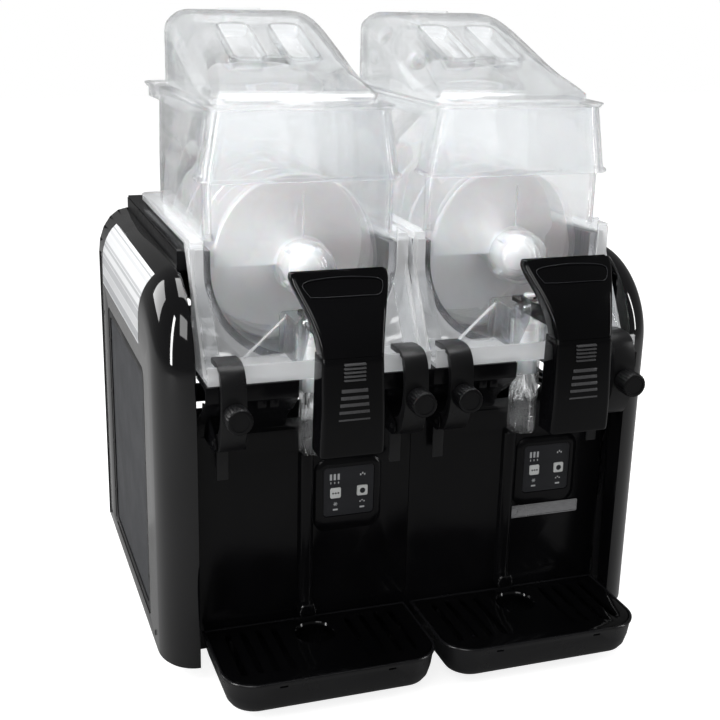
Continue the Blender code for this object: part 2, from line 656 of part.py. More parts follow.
def tap_piston(side, bay, look):
    """A sleeve that slides in the tap: its side window meets the passage when it is lifted."""
    origin = (0, TAP_Y, 0.350)
    profile = [(0.3105, 0.0112), (0.3120, 0.0117), (0.3645, 0.0117), (0.3650, 0.0038), (0.3910, 0.0038),
               (0.3911, 0.0062), (0.3935, 0.0056)]
    piston = link_object("tap_piston_" + side, add_turned(bmesh.new(), "z", (0, TAP_Y), profile, 20),
                         look, bay, origin)
    cut(piston, add_turned(bmesh.new(), "z", (0, TAP_Y), [(0.30, 0.0088), (0.3425, 0.0088)], 16))
    cut(piston, add_box(bmesh.new(), (-0.0058, 0.0058), (TAP_Y, -0.12), (0.3315, 0.3420)))
    return piston


def return_spring(side, bay, look):
    """The torsion spring round the pivot pin, between the lugs."""
    turns, per_turn, sides = 6, 10, 4
    coil_radius, wire, length = 0.0050, 0.0008, 0.0150
    rings = []
    for i in range(turns * per_turn + 1):
        angle = 2 * math.pi * i / per_turn
        x = length * (i / (turns * per_turn) - 0.5)
        out = Vector((0, math.cos(angle), math.sin(angle)))
        centre = Vector((x, PIVOT_Y, PIVOT_Z)) + out * coil_radius
        ring = []
        for k in range(sides):
            turn = 2 * math.pi * k / sides
            ring.append(centre + out * wire * math.cos(turn) + Vector((wire * math.sin(turn), 0, 0)))
        rings.append(ring)
    return link_object("return_spring_" + side, add_loft(bmesh.new(), rings), look, bay,
                       (0, PIVOT_Y, PIVOT_Z))


# ---------------------------------------------------------------- clamps

CLAMP_PIVOT = (-0.158, 0.272)
CLAMP_X = 0.091
KNOB_Z = 0.308


def clamp(name, x, bay, look):
    """The strap that hooks over the bowl's front ledge and swings forward on its lower pivot."""
    origin = (x, CLAMP_PIVOT[0], CLAMP_PIVOT[1])
    outer = [(-0.1380, 0.3505), (-0.1600, 0.3530), (-0.1730, 0.3490), (-0.1810, 0.3380), (-0.1840, 0.3200),
             (-0.1830, 0.2960), (-0.1760, 0.2760), (-0.1680, 0.2640), (-0.1580, 0.2630)]
    inner = [(-0.1560, 0.2800), (-0.1650, 0.2840), (-0.1740, 0.2980), (-0.1770, 0.3180), (-0.1750, 0.3330),
             (-0.1710, 0.3420), (-0.1670, 0.3462), (-0.1380, 0.3462)]
    strap = add_prism(bmesh.new(), outer + inner, "x", x - 0.0120, x + 0.0120)
    made = link_object(name, strap, look, bay, origin)
    cut(made, add_turned(bmesh.new(), "y", (x, KNOB_Z), [(-0.20, 0.0042), (-0.16, 0.0042)], 12))
    join(made, add_turned(bmesh.new(), "x", CLAMP_PIVOT, [(x - 0.0160, 0.0025), (x + 0.0160, 0.0025)], 12))
    return made


def clamp_knob(name, x, bay, look):
    """A knurled round knob with its screw, which passes through the strap."""
    origin = (x, -0.190, KNOB_Z)
    knurls = 24
    outline = []
    for i in range(knurls):
        radius = 0.0130 if i % 2 else 0.0122
        turn = 2 * math.pi * i / knurls
        outline.append((x + radius * math.cos(turn), KNOB_Z + radius * math.sin(turn)))
    rings = []
    for y, scale in ((-0.2070, 0.90), (-0.2050, 1.0), (-0.1880, 1.0), (-0.1860, 0.94)):
        rings.append([(x + (a - x) * scale, y, KNOB_Z + (b - KNOB_Z) * scale) for a, b in outline])
    knob = link_object(name, add_loft(bmesh.new(), rings), look, bay, origin)
    join(knob, add_turned(bmesh.new(), "y", (x, KNOB_Z), [(-0.190, 0.0032), (-0.1685, 0.0032)], 12))
    return knob


# ---------------------------------------------------------------- controls

PLATE_X = (0.0185, 0.0735)
PLATE_Z = (0.1600, 0.2144)
PLATE_Y = (-0.1160, FACE_Y - GAP)
KEY_X = {"mode": 0.0315, "light": 0.0610}
KEY_Z = 0.1860
KEY_SIZE = 0.0115
KEY_TRAVEL = 0.001


def control_panel(side, bay, look):
    outline = rounded_rectangle(PLATE_X, PLATE_Z, 0.004, 2)
    plate = link_object("control_panel_" + side, add_prism(bmesh.new(), outline, "y", *PLATE_Y), look, bay)
    holes = bmesh.new()
    half = KEY_SIZE / 2 + GAP
    for x in KEY_X.values():
        add_box(holes, (x - half, x + half), (-0.12, -0.10), (KEY_Z - half, KEY_Z + half))
    cut(plate, holes)
    return plate


def key(name, x, bay, look):
    half = KEY_SIZE / 2
    outline = rounded_rectangle((x - half, x + half), (KEY_Z - half, KEY_Z + half), 0.0015, 2)
    return link_object(name, add_prism(bmesh.new(), outline, "y", -0.1168, -0.1136), look, bay,
                       (x, -0.1168, KEY_Z))


# ---------------------------------------------------------------- drip trays


def tray_outline(inset, back_inset):
    """Round front corners, square back ones."""
    half = TRAY_HALF - inset
    front = TRAY_FRONT + inset
    back = TRAY_BACK - back_inset
    radius = max(TRAY_CORNER - inset, 0.012)
    points = arc((half - radius, front + radius), (radius, radius), -90, 0, 5)
    points += [(half, back), (-half, back)]
    points += arc((radius - half, front + radius), (radius, radius), 180, 270, 5)
    return points


def drip_tray(side, bay, look):
    """A basin with a wide round edge below; it hangs on the front panel and pulls forward."""
    levels = ((TRAY_LOW, 0.024), (0.0120, 0.013), (0.0190, 0.006), (0.0300, 0.003), (TRAY_TOP, 0.0))
    rings = [[(x, y, z) for x, y in tray_outline(inset, 0.0)] for z, inset in levels]
    tray = link_object("drip_tray_" + side, add_loft(bmesh.new(), rings), look, bay,
                       (0, TRAY_BACK, 0.03))
    wall = 0.0025
    inside = [[(x, y, z + wall) for x, y in tray_outline(inset + wall, wall)] for z, inset in levels[:-1]]
    inside += [[(x, y, z) for x, y in tray_outline(wall, wall)] for z in (TRAY_TOP, 0.06)]
    cut(tray, add_loft(bmesh.new(), inside))
    notches = bmesh.new()
    for x in (-0.056, 0.056):
        add_box(notches, (x - 0.004, x + 0.004), (-0.24, -0.225), (0.0425, 0.0450))
    cut(tray, notches)
    posts = bmesh.new()
    for x, y in ((0.085, -0.140), (0.065, -0.203), (-0.065, -0.203), (-0.085, -0.140)):
        add_turned(posts, "z", (x, y), [(0.0100, 0.0035), (0.0442, 0.0030)], 10)
    join(tray, posts)
    return tray


def drip_grid(side, bay, look):
    """The loose plate in the tray's rim: slots, a hole under the tap and a notch round the spout."""
    outline = tray_outline(0.0042, 0.0032)
    grid = link_object("drip_grid_" + side, add_prism(bmesh.new(), outline, "z", 0.0445, 0.0485), look, bay,
                       (0, -0.177, 0.0445))
    openings = bmesh.new()
    for sign in (-1, 1):
        for i in range(4):
            x = sign * (0.040 + 0.0165 * i)
            slot = rounded_rectangle((x - 0.0036, x + 0.0036), (-0.213, -0.131), 0.0035, 2)
            add_prism(openings, slot, "z", 0.04, 0.06)
    add_turned(openings, "z", (0, -0.153), [(0.04, 0.0205), (0.06, 0.0205)], 24)
    add_box(openings, (-0.0115, 0.0115), (-0.1295, -0.10), (0.04, 0.06))
    cut(grid, openings)
    return grid


# ---------------------------------------------------------------- assembly


def build_casing(looks):
    base_pan(looks["steel"])
    for end, y in (("front", -0.055), ("rear", 0.215)):
        for side, x in (("left", -0.200), ("right", 0.200)):
            foot(f"foot_{end}_{side}", x, y, looks["rubber"])
    filter_opening(side_panel("side_panel_left", -1, looks["gloss_black"]), -1)
    louvre_openings(side_panel("side_panel_right", 1, looks["gloss_black"]), 1)
    air_filter(looks["dark_grey"])
    rear_panel(looks["matte_black"])
    top_deck(looks["matte_black"])


def build_cooling(looks):
    compressor(looks["machinery"])
    condenser(looks["steel"])
    fan_motor(looks["machinery"])
    fan_blade(looks["machinery"])


def build_bay(side, bay, looks):
    front_panel(side, bay, looks["matte_black"])
    evaporator(side, bay, looks["steel"])
    gear_motor(side, bay, looks["machinery"])
    drive_shaft(side, bay, looks["steel"])
    auger(side, bay, looks["white"])
    auger_nut(side, bay, looks["white"])
    bowl_gasket(side, bay, looks["gasket"])
    bowl(side, bay, looks["clear"])
    tap_body(side, bay, looks["clear"])
    lid(side, bay, looks["clear"])
    tap_lever(side, bay, looks["gloss_black"])
    tap_cover(side, bay, looks["gloss_black"])
    tap_piston(side, bay, looks["white"])
    return_spring(side, bay, looks["steel"])
    for place, x in (("outer", -CLAMP_X), ("inner", CLAMP_X)):
        clamp(f"clamp_{side}_{place}", x, bay, looks["matte_black"])
        clamp_knob(f"clamp_knob_{side}_{place}", x, bay, looks["matte_black"])
    control_panel(side, bay, looks["dark_grey"])
    for use, x in KEY_X.items():
        key(f"{use}_key_{side}", x, bay, looks["white"])
    drip_tray(side, bay, looks["matte_black"])
    drip_grid(side, bay, looks["matte_black"])


def main():
    clear_scene()
    looks = make_materials()
    build_casing(looks)
    build_cooling(looks)
    for side, x in BAYS.items():
        bay = bpy.data.objects.new("bay_" + side, None)
        bay.location = (x, 0, 0)
        bpy.context.scene.collection.objects.link(bay)
        build_bay(side, bay, looks)


main()
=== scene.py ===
"""Detailed visual model of the twin-bowl frozen drink dispenser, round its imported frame.

Metres, +Z up, front towards -Y. Most pieces are modelled in a bay's own coordinates, with x = 0
at the middle of its bowl, and moved to the bay's place when they are made.
"""

import math

import bmesh
import bpy
from mathutils import Matrix, Vector


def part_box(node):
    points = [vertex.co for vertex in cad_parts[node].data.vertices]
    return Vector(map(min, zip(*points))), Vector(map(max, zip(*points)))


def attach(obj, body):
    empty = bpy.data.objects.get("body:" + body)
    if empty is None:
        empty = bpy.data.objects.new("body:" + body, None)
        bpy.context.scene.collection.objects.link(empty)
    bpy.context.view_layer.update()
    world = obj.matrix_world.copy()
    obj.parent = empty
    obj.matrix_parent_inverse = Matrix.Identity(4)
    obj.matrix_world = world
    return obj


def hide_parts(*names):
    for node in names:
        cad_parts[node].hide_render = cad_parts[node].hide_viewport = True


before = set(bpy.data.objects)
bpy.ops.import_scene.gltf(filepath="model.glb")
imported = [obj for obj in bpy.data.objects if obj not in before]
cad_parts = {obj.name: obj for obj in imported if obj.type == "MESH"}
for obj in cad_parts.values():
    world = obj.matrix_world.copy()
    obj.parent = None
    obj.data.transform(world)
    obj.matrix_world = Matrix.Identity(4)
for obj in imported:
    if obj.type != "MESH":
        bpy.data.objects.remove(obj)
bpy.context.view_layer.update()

BAYS = {"left": -0.115, "right": 0.115}
HALF_WIDTH = 0.27
PANEL_INNER = 0.234
BODY_FRONT = -0.145
SHOULDER_TOP = 0.424
FACE_Y = -0.112
STRAP_X = 0.091
PANEL_BACK = 0.2585
CURVE_START = 0.33
AXIS_Z = 0.4255
BOWL_FRONT = -0.0932
BOWL_BACK = 0.186
BOWL_LENGTH = 0.2792
RIM_Z = 0.577
DRAFT_LOW = 0.505
RIM_RISE = 0.072
RIM_CLOSED = 0.12
LEDGE_LOW = 0.331
FLANGE_LOW = 0.4465
FLANGE_TOP = 0.4535
DOME_FRONT = -0.084
DOME_TURN = -0.08
DOME_BACK = 0.1865
TAP_Y = -0.138
PASSAGE_Z = 0.35
PIVOT = (-0.168, 0.3875)
CLAMP_PIVOT = (-0.158, 0.272)
KNOB_Z = 0.308
KEY_X = {"mode": 0.0315, "light": 0.061}


# ---------------------------------------------------------------- materials


def add_node(tree, kind, inputs=None, **settings):
    """Adds a node to a tree. Each of its inputs is given a value, or a socket that is linked to it."""
    added = tree.nodes.new(kind)
    for key, value in settings.items():
        setattr(added, key, value)
    for key, value in (inputs or {}).items():
        if isinstance(value, bpy.types.NodeSocket):
            tree.links.new(value, added.inputs[key])
        else:
            added.inputs[key].default_value = value
    return added


class Look:
    """A Principled material and a short way to add nodes to it."""

    def __init__(self, name, colour, roughness, metallic=0.0, **plain):
        self.made = bpy.data.materials.new(name)
        self.made.use_nodes = True
        self.tree = self.made.node_tree
        self.shader = self.tree.nodes["Principled BSDF"]
        plain = {"Base_Color": (*colour, 1), "Roughness": roughness, "Metallic": metallic, **plain}
        for key, value in plain.items():
            self.shader.inputs[key.replace("_", " ")].default_value = value
        self.where = self.node("ShaderNodeTexCoord").outputs["Object"]

    def node(self, kind, inputs=None, **settings):
        return add_node(self.tree, kind, inputs, **settings)

    def link(self, source, target):
        self.tree.links.new(source, target)

    def noise(self, scale, detail=3.0, stretch=(1, 1, 1)):
        where = self.node("ShaderNodeMapping", {"Scale": stretch, "Vector": self.where}).outputs["Vector"]
        return self.node("ShaderNodeTexNoise", {"Scale": scale, "Detail": detail, "Vector": where}).outputs["Fac"]

    def wave(self, axis, scale):
        wave = self.node("ShaderNodeTexWave", {"Scale": scale, "Vector": self.where}, bands_direction=axis)
        return wave.outputs["Fac"]

    def span(self, source, low, high, start=0.3, end=0.7):
        """Maps a 0 to 1 value onto low to high."""
        limits = {"From Min": start, "From Max": end, "To Min": low, "To Max": high, "Value": source}
        return self.node("ShaderNodeMapRange", limits).outputs["Result"]

    def blend(self, factor, first, second):
        colours = {"A": (*first, 1), "B": (*second, 1), "Factor": factor}
        return self.node("ShaderNodeMix", colours, data_type="RGBA").outputs["Result"]

    def colour(self, source):
        self.link(source, self.shader.inputs["Base Color"])

    def roughness(self, source):
        self.link(source, self.shader.inputs["Roughness"])

    def bump(self, source, distance, strength=1.0):
        added = self.node("ShaderNodeBump", {"Distance": distance, "Strength": strength, "Height": source})
        self.link(added.outputs["Normal"], self.shader.inputs["Normal"])

    def mixed(self, share, first, second):
        """Ends the material in a mix of two shaders."""
        mix = self.node("ShaderNodeMixShader", {0: share, 1: first, 2: second})
        self.link(mix.outputs[0], self.tree.nodes["Material Output"].inputs["Surface"])


def plastic(name, dark, light, rough, grain, depth, shine=0.5, **plain):
    """Moulded plastic: cloudy tone, uneven gloss and a fine surface grain."""
    look = Look(name, dark, rough[0], Specular_IOR_Level=shine, **plain)
    cloud = look.noise(9, 4)
    look.colour(look.blend(look.span(cloud, 0, 1), dark, light))
    look.roughness(look.span(look.noise(35, 5), rough[0], rough[1]))
    look.bump(look.noise(grain, 2), depth)
    return look.made


def brushed(name, dark, light, rough, stretch, scale=220, depth=0.00003):
    look = Look(name, light, rough[0], 1.0)
    lines = look.noise(scale, 4, stretch)
    look.colour(look.blend(look.span(lines, 0, 1), dark, light))
    look.roughness(look.span(look.noise(14, 3), rough[0], rough[1]))
    look.bump(lines, depth, 0.6)
    return look.made


def clear(name, tint, rough, open_share, through=1.0, haze=0.035):
    """Clear moulded plastic: open_share of the light passes straight, and less than 1 through makes it milky."""
    look = Look(name, tint, rough, Transmission_Weight=through, IOR=1.46)
    look.roughness(look.span(look.noise(12, 4), rough, rough + haze))
    look.bump(look.noise(26, 2), 0.0001, 0.35)
    path = look.node("ShaderNodeLightPath")
    open_way = look.node("ShaderNodeBsdfTransparent", {"Color": (0.95, 0.955, 0.96, 1)})
    share = look.node("ShaderNodeMath", {0: path.outputs["Is Shadow Ray"], 1: open_share}, operation="MAXIMUM")
    look.mixed(share.outputs[0], look.shader.outputs[0], open_way.outputs[0])
    return look.made


def mesh_grille(name):
    """Woven filter mesh: dark grey wires and fine square holes, the holes painted near-black as painted shade seen
    through them.
    """
    look = Look(name, (0.05, 0.052, 0.056), 0.5)
    waves = {0: look.wave("Y", 150), 1: look.wave("Z", 150)}
    holes = look.node("ShaderNodeMath", waves, operation="MULTIPLY").outputs[0]
    # The holes are painted near-black: painted shade standing for the dark inside seen through the mesh.
    look.colour(look.blend(look.span(holes, 0, 1, 0.1, 0.6), (0.07, 0.073, 0.08), (0.012, 0.012, 0.014)))
    look.roughness(look.span(look.noise(20, 3), 0.42, 0.6))
    look.bump(holes, 0.0004)
    return look.made


def finned(name):
    look = Look(name, (0.55, 0.56, 0.57), 0.35, 1.0)
    wave = look.wave("Y", 90)
    # The dark bands are painted shade in the gaps between the fins; the light bands are the fins' own metal.
    look.colour(look.blend(wave, (0.12, 0.12, 0.13), (0.6, 0.61, 0.62)))
    look.roughness(look.span(look.noise(20, 3), 0.3, 0.5))
    look.bump(wave, 0.001)
    return look.made


def printed_label(name):
    """A pale label with faint grey lines of print that say nothing."""
    look = Look(name, (0.8, 0.81, 0.82), 0.35)
    upright_turn = (math.radians(90), 0, math.radians(90))
    where = look.node("ShaderNodeMapping", {"Rotation": upright_turn, "Vector": look.where}).outputs["Vector"]
    print_lines = {"Scale": 110, "Mortar Size": 0.07, "Brick Width": 1.3, "Row Height": 0.34, "Vector": where,
                   "Color1": (0.3, 0.31, 0.33, 1), "Color2": (0.86, 0.87, 0.88, 1), "Mortar": (0.88, 0.89, 0.9, 1)}
    rows = look.node("ShaderNodeTexBrick", print_lines, offset=0.37, squash=1.0)
    look.colour(rows.outputs["Color"])
    look.roughness(look.span(look.noise(30, 3), 0.3, 0.45))
    look.bump(look.noise(300, 2), 0.00003)
    return look.made


MATERIALS = {
    "gloss": plastic("gloss_black_plastic", (0.0012, 0.0012, 0.0015), (0.003, 0.003, 0.0035), (0.03, 0.08),
                     18, 0.00008, 0.45, Coat_Weight=0.6, Coat_Roughness=0.03),
    "lever": plastic("lever_black_plastic", (0.0012, 0.0012, 0.0014), (0.0025, 0.0025, 0.003), (0.05, 0.1),
                     22, 0.00006, 0.24),
    "front": plastic("front_black_plastic", (0.002, 0.002, 0.0024), (0.0045, 0.0045, 0.0052), (0.16, 0.24),
                     900, 0.00003, 0.22),
    "satin": plastic("satin_black_plastic", (0.003, 0.003, 0.0035), (0.006, 0.006, 0.0068), (0.24, 0.38),
                     1100, 0.00005, 0.3),
    "tray": plastic("tray_black_plastic", (0.004, 0.004, 0.0045), (0.008, 0.008, 0.009), (0.18, 0.3),
                    900, 0.00004, 0.45),
    "grid": plastic("grid_black_plastic", (0.001, 0.001, 0.0012), (0.0022, 0.0022, 0.0025), (0.06, 0.12),
                    500, 0.00003, 0.3),
    "strap": plastic("strap_black_rubber", (0.004, 0.004, 0.0045), (0.012, 0.012, 0.013), (0.26, 0.44),
                     420, 0.00009, 0.4),
    # The ribs' grey is a painted highlight: it stands in for the light on the raised ribs of the black lever cover.
    "rib": plastic("rib_painted_highlight_grey", (0.05, 0.05, 0.052), (0.09, 0.09, 0.093), (0.22, 0.34), 700, 0.00003),
    "rubber": plastic("foot_rubber", (0.012, 0.012, 0.012), (0.03, 0.03, 0.03), (0.65, 0.85), 500, 0.0002),
    "white": plastic("white_plastic", (0.8, 0.805, 0.81), (0.87, 0.875, 0.88), (0.22, 0.34), 700, 0.00004,
                     Subsurface_Weight=0.2, Subsurface_Scale=0.01),
    "key": plastic("key_white_plastic", (0.62, 0.63, 0.62), (0.72, 0.73, 0.72), (0.25, 0.38), 900, 0.00003),
    "plate": plastic("plate_grey_film", (0.014, 0.0145, 0.017), (0.022, 0.0225, 0.026), (0.28, 0.38),
                     1300, 0.00003, 0.3),
    "print": plastic("pale_print", (0.42, 0.43, 0.44), (0.56, 0.57, 0.58), (0.35, 0.5), 900, 0.00002),
    "gasket": plastic("pale_gasket", (0.5, 0.51, 0.5), (0.6, 0.61, 0.6), (0.5, 0.65), 500, 0.0001),
    "paint": plastic("black_paint", (0.006, 0.006, 0.007), (0.011, 0.011, 0.012), (0.35, 0.5), 700, 0.0001),
    "motor": plastic("motor_grey_paint", (0.05, 0.052, 0.058), (0.08, 0.082, 0.088), (0.4, 0.55), 600, 0.0001),
    "steel": brushed("polished_steel", (0.24, 0.24, 0.25), (0.44, 0.44, 0.45), (0.1, 0.2), (0.4, 12, 0.4), 60),
    "sheet": brushed("satin_sheet_steel", (0.42, 0.42, 0.43), (0.62, 0.62, 0.63), (0.25, 0.4), (12, 0.5, 12)),
    "chrome": brushed("bright_screw", (0.55, 0.55, 0.56), (0.85, 0.85, 0.86), (0.08, 0.16), (1, 1, 1), 400),
    "badge": brushed("badge_metal", (0.3, 0.3, 0.31), (0.55, 0.55, 0.56), (0.2, 0.3), (0.5, 1, 14)),
    "clear": clear("clear_bowl_plastic", (0.985, 0.992, 0.996), 0.0, 0.45),
    "lid": clear("clear_lid_plastic", (0.975, 0.988, 0.994), 0.0, 0.5),
    "milky": clear("milky_bowl_plastic", (0.96, 0.965, 0.97), 0.02, 0.15, 0.62, 0.05),
    "mesh": mesh_grille("filter_mesh"),
    "fins": finned("condenser_fins"),
    "label": printed_label("printed_label"),
}


# ---------------------------------------------------------------- shapes


def add_loft(bm, rings):
    """A solid through rings of points, capped at its first and its last."""
    loops = [[bm.verts.new(point) for point in ring] for ring in rings]
    count = len(rings[0])
    for near, far in zip(loops, loops[1:]):
        for i in range(count):
            bm.faces.new((near[i], near[(i + 1) % count], far[(i + 1) % count], far[i]))
    bm.faces.new(loops[0])
    bm.faces.new(loops[-1])
    return bm


def loft(rings):
    return add_loft(bmesh.new(), rings)


def add_box(bm, x, y, z):
    corners = ((x[0], y[0]), (x[1], y[0]), (x[1], y[1]), (x[0], y[1]))
    return add_loft(bm, [[(a, b, c) for a, b in corners] for c in z])


def placed(axis, along, a, b):
    order = {"x": (along, a, b), "y": (a, along, b), "z": (a, b, along)}
    return order[axis]


def add_prism(bm, outline, axis, start, end):
    return add_loft(bm, [[placed(axis, at, a, b) for a, b in outline] for at in (start, end)])


def box(x, y, z):
    return add_box(bmesh.new(), x, y, z)


def prism(outline, axis, start, end):
    return add_prism(bmesh.new(), outline, axis, start, end)


def add_turned(bm, axis, centre, profile, count=48):
    rings = []
    for at, radius in profile:
        rings.append([placed(axis, at, centre[0] + radius * math.cos(2 * math.pi * i / count),
                             centre[1] + radius * math.sin(2 * math.pi * i / count)) for i in range(count)])
    return add_loft(bm, rings)


def turned(axis, centre, profile, count=48):
    return add_turned(bmesh.new(), axis, centre, profile, count)


def on_axis(profile, count=48):
    """A turned solid on the auger's axis."""
    return turned("y", (0, AXIS_Z), profile, count)


def in_tap(profile, count=48):
    """A turned solid on the tap's upright axis."""
    return turned("z", (0, TAP_Y), profile, count)


def arc(centre, radii, start, end, steps):
    angles = [math.radians(start + (end - start) * i / steps) for i in range(steps + 1)]
    return [(centre[0] + radii[0] * math.cos(t), centre[1] + radii[1] * math.sin(t)) for t in angles]


def rounded(x, y, radius, steps=8):
    """A rounded rectangle. radius is one number, or one for the low and one for the high y end."""
    low, high = radius if isinstance(radius, tuple) else (radius, radius)
    corners = (((x[1] - low, y[0] + low), -90, low), ((x[1] - high, y[1] - high), 0, high),
               ((x[0] + high, y[1] - high), 90, high), ((x[0] + low, y[0] + low), 180, low))
    return [point for centre, start, size in corners
            for point in arc(centre, (size, size), start, start + 90, steps)]


def drawn_in(outline, levels):
    """A solid through an outline at each (height, growth). Above DRAFT_LOW its sides close in towards the front."""
    rings = []
    for z, grow in levels:
        closed = RIM_CLOSED * max(0.0, (z - DRAFT_LOW) / RIM_RISE)
        ring = []
        for x, y in outline:
            narrowed = (x + math.copysign(grow, x)) * (1 - closed * (BOWL_BACK - y) / BOWL_LENGTH)
            ring.append((narrowed, y + math.copysign(grow, y) if y < -0.08 else y, z))
        rings.append(ring)
    solid = loft(rings)
    bmesh.ops.triangulate(solid, faces=solid.faces)
    return solid


def upright(outline, low, high):
    """The same solid with no ledge or bead."""
    return drawn_in(outline, [(z, 0.0) for z in (low, DRAFT_LOW, high)])


def smoothed(points, steps=6):
    """Points on a Catmull-Rom curve through the given ones."""
    padded = [points[0], *points, points[-1]]
    found = []
    for a, b, c, d in zip(padded, padded[1:], padded[2:], padded[3:]):
        for i in range(steps):
            t = i / steps
            found.append(tuple(0.5 * (2 * q + (r - p) * t + (2 * p - 5 * q + 4 * r - s) * t * t
                                      + (3 * q - p - 3 * r + s) * t ** 3) for p, q, r, s in zip(a, b, c, d)))
    found.append(tuple(points[-1]))
    return found


def new_object(name, bm, x=0.0):
    bmesh.ops.recalc_face_normals(bm, faces=bm.faces)
    mesh = bpy.data.meshes.new(name)
    bm.to_mesh(mesh)
    bm.free()
    mesh.transform(Matrix.Translation((x, 0, 0)))
    made = bpy.data.objects.new(name, mesh)
    bpy.context.scene.collection.objects.link(made)
    return made


def settle(obj):
    """Applies the modifiers, so that only a plain mesh is left."""
    graph = bpy.context.evaluated_depsgraph_get()
    graph.update()
    old = obj.data
    obj.data = bpy.data.meshes.new_from_object(obj.evaluated_get(graph))
    obj.modifiers.clear()
    bpy.data.meshes.remove(old)


def combine(obj, parts, x):
    """Joins and cuts obj by each (operation, bmesh)."""
    helpers = []
    for number, (operation, bm) in enumerate(parts):
        other = new_object(f"{obj.name}_{number}", bm, x)
        step = obj.modifiers.new(f"step_{number}", "BOOLEAN")
        step.operation = {"+": "UNION", "-": "DIFFERENCE", "*": "INTERSECT"}[operation]
        step.solver = "EXACT"
        step.object = other
        helpers.append(other)
    settle(obj)
    for other in helpers:
        bpy.data.objects.remove(other)


def piece(name, body, look, bm, parts=(), bay=None, bevel=0.0, segments=3, smooth=35, replaces=()):
    """A finished piece: its shape, its edges, its material and the body that it rides on."""
    x = BAYS[bay] if bay else 0.0
    made = new_object(name, bm, x)
    if parts:
        combine(made, parts, x)
    if bevel:
        step = made.modifiers.new("bevel", "BEVEL")
        step.width = bevel
        step.segments = segments
        step.limit_method = "ANGLE"
        step.angle_limit = math.radians(30)
        step.harden_normals = False
        settle(made)
    made.data.materials.clear()
    made.data.materials.append(MATERIALS[look])
    made.data.shade_smooth()
    made.data.set_sharp_from_angle(angle=math.radians(smooth))
    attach(made, body)
    for node in replaces:
        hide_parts(node)
    return made


def dress(node, look, bevel=0.0):
    """Keeps a frame node and gives it a finished material and softer edges."""
    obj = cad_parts[node]
    obj.data.materials.clear()
    obj.data.materials.append(MATERIALS[look])
    if bevel:
        step = obj.modifiers.new("bevel", "BEVEL")
        step.width = bevel
        step.segments = 2
        step.limit_method = "ANGLE"
        step.angle_limit = math.radians(35)


# ---------------------------------------------------------------- casing


def side_block(side, inset, x_start, low, back):
    """The rounded outer form of a side panel from x_start outwards, made smaller by inset all round."""
    rings = []
    steps = 18
    for number in range(steps + 1):
        angle = math.pi / 2 * number / steps
        front_inset = inset + 0.046 * (1 - math.cos(angle))
        top_inset = inset + 0.054 * (1 - math.cos(angle))
        x = x_start + (HALF_WIDTH - inset - x_start) * math.sin(angle)
        radii = (0.095 - front_inset, 0.094 - top_inset)
        outline = [(BODY_FRONT + front_inset, low)]
        outline += arc((BODY_FRONT + 0.095, CURVE_START), radii, 180, 90, 24)
        outline += [(back, SHOULDER_TOP - top_inset), (back, low)]
        rings.append([(side * x, y, z) for y, z in outline])
    return add_loft(bmesh.new(), rings)


def side_panel(side, name):
    """A side's shell, open inwards, with the filter's opening on the left and slots on the right."""
    inner = PANEL_INNER + 0.003
    x = sorted((side * (PANEL_INNER - 0.01), side * (inner + 0.002)))
    parts = [("-", side_block(side, 0.003, inner, 0.01, PANEL_BACK + 0.01)),
             ("-", box(x, (-0.108, PANEL_BACK + 0.01), (0.01, 0.4)))]
    wide = sorted((side * 0.25, side * 0.28))
    if side < 0:
        parts.append(("-", prism(rounded((-0.056, 0.2), (0.038, 0.318), 0.01), "x", *wide)))
    else:
        slots = bmesh.new()
        for i in range(8):
            low = 0.06 + 0.032 * i
            add_prism(slots, rounded((-0.03, 0.19), (low, low + 0.012), 0.005, 5), "x", *wide)
        parts.append(("-", slots))
    piece("casing_side_" + name, "machine", "gloss",
          side_block(side, 0.0002, PANEL_INNER, 0.022, PANEL_BACK), parts, bevel=0.0007, segments=2,
          replaces=["side_panel_" + name])


def filter_panel():
    """The mesh in its frame, with the clips at its ends."""
    outer = rounded((-0.06, 0.204), (0.034, 0.322), 0.01)
    inner = rounded((-0.044, 0.19), (0.048, 0.308), 0.008)

    def sheet(outline, start, end):
        return prism(outline, "x", start - HALF_WIDTH, end - HALF_WIDTH)

    raised = sheet(rounded((-0.0545, 0.1985), (0.0395, 0.3165), 0.009), 0.0008, 0.006)
    piece("filter_frame", "machine", "satin", sheet(outer, 0.0034, 0.006),
          [("+", raised), ("-", prism(inner, "x", -0.28, -0.25))], bevel=0.0005, replaces=["air_filter"])
    mesh = sheet(rounded((-0.0455, 0.1915), (0.0465, 0.3095), 0.008), 0.0022, 0.0052)
    piece("filter_mesh_sheet", "machine", "mesh", mesh)
    for number, y in enumerate((-0.0495, 0.1945)):
        for row in range(4):
            z = 0.08 + 0.065 * row
            clip = box((-HALF_WIDTH + 0.0004, -HALF_WIDTH + 0.004), (y - 0.0045, y + 0.0045), (z, z + 0.004))
            piece(f"filter_clip_{number}_{row}", "machine", "satin", clip, bevel=0.0004)


def shoulder_label():
    """A thin label that follows the left shoulder."""
    section = [(-HALF_WIDTH, 0.337), (-HALF_WIDTH, 0.353)]
    for degrees in range(90, 34, -5):
        t = math.radians(degrees)
        section.append((-PANEL_INNER - (HALF_WIDTH - PANEL_INNER) * math.sin(t),
                        SHOULDER_TOP - 0.054 * (1 - math.cos(t))))
    rings = []
    for share in [i / 20 for i in range(21)]:
        ring, under = [], []
        for number, (x, z) in enumerate(section):
            up = number / (len(section) - 1)
            front = -0.03 - 0.02 * up
            back = 0.235 - 0.025 * up
            y = front + (back - front) * share
            outward = Vector((x + PANEL_INNER, 0, (z - 0.37) * 0.45 if z > 0.37 else 0)).normalized()
            ring.append(Vector((x, y, z)))
            under.append(Vector((x, y, z)) - outward * 0.0005)
        rings.append(ring + under[::-1])
    piece("shoulder_label", "machine", "label", loft(rings), smooth=60)


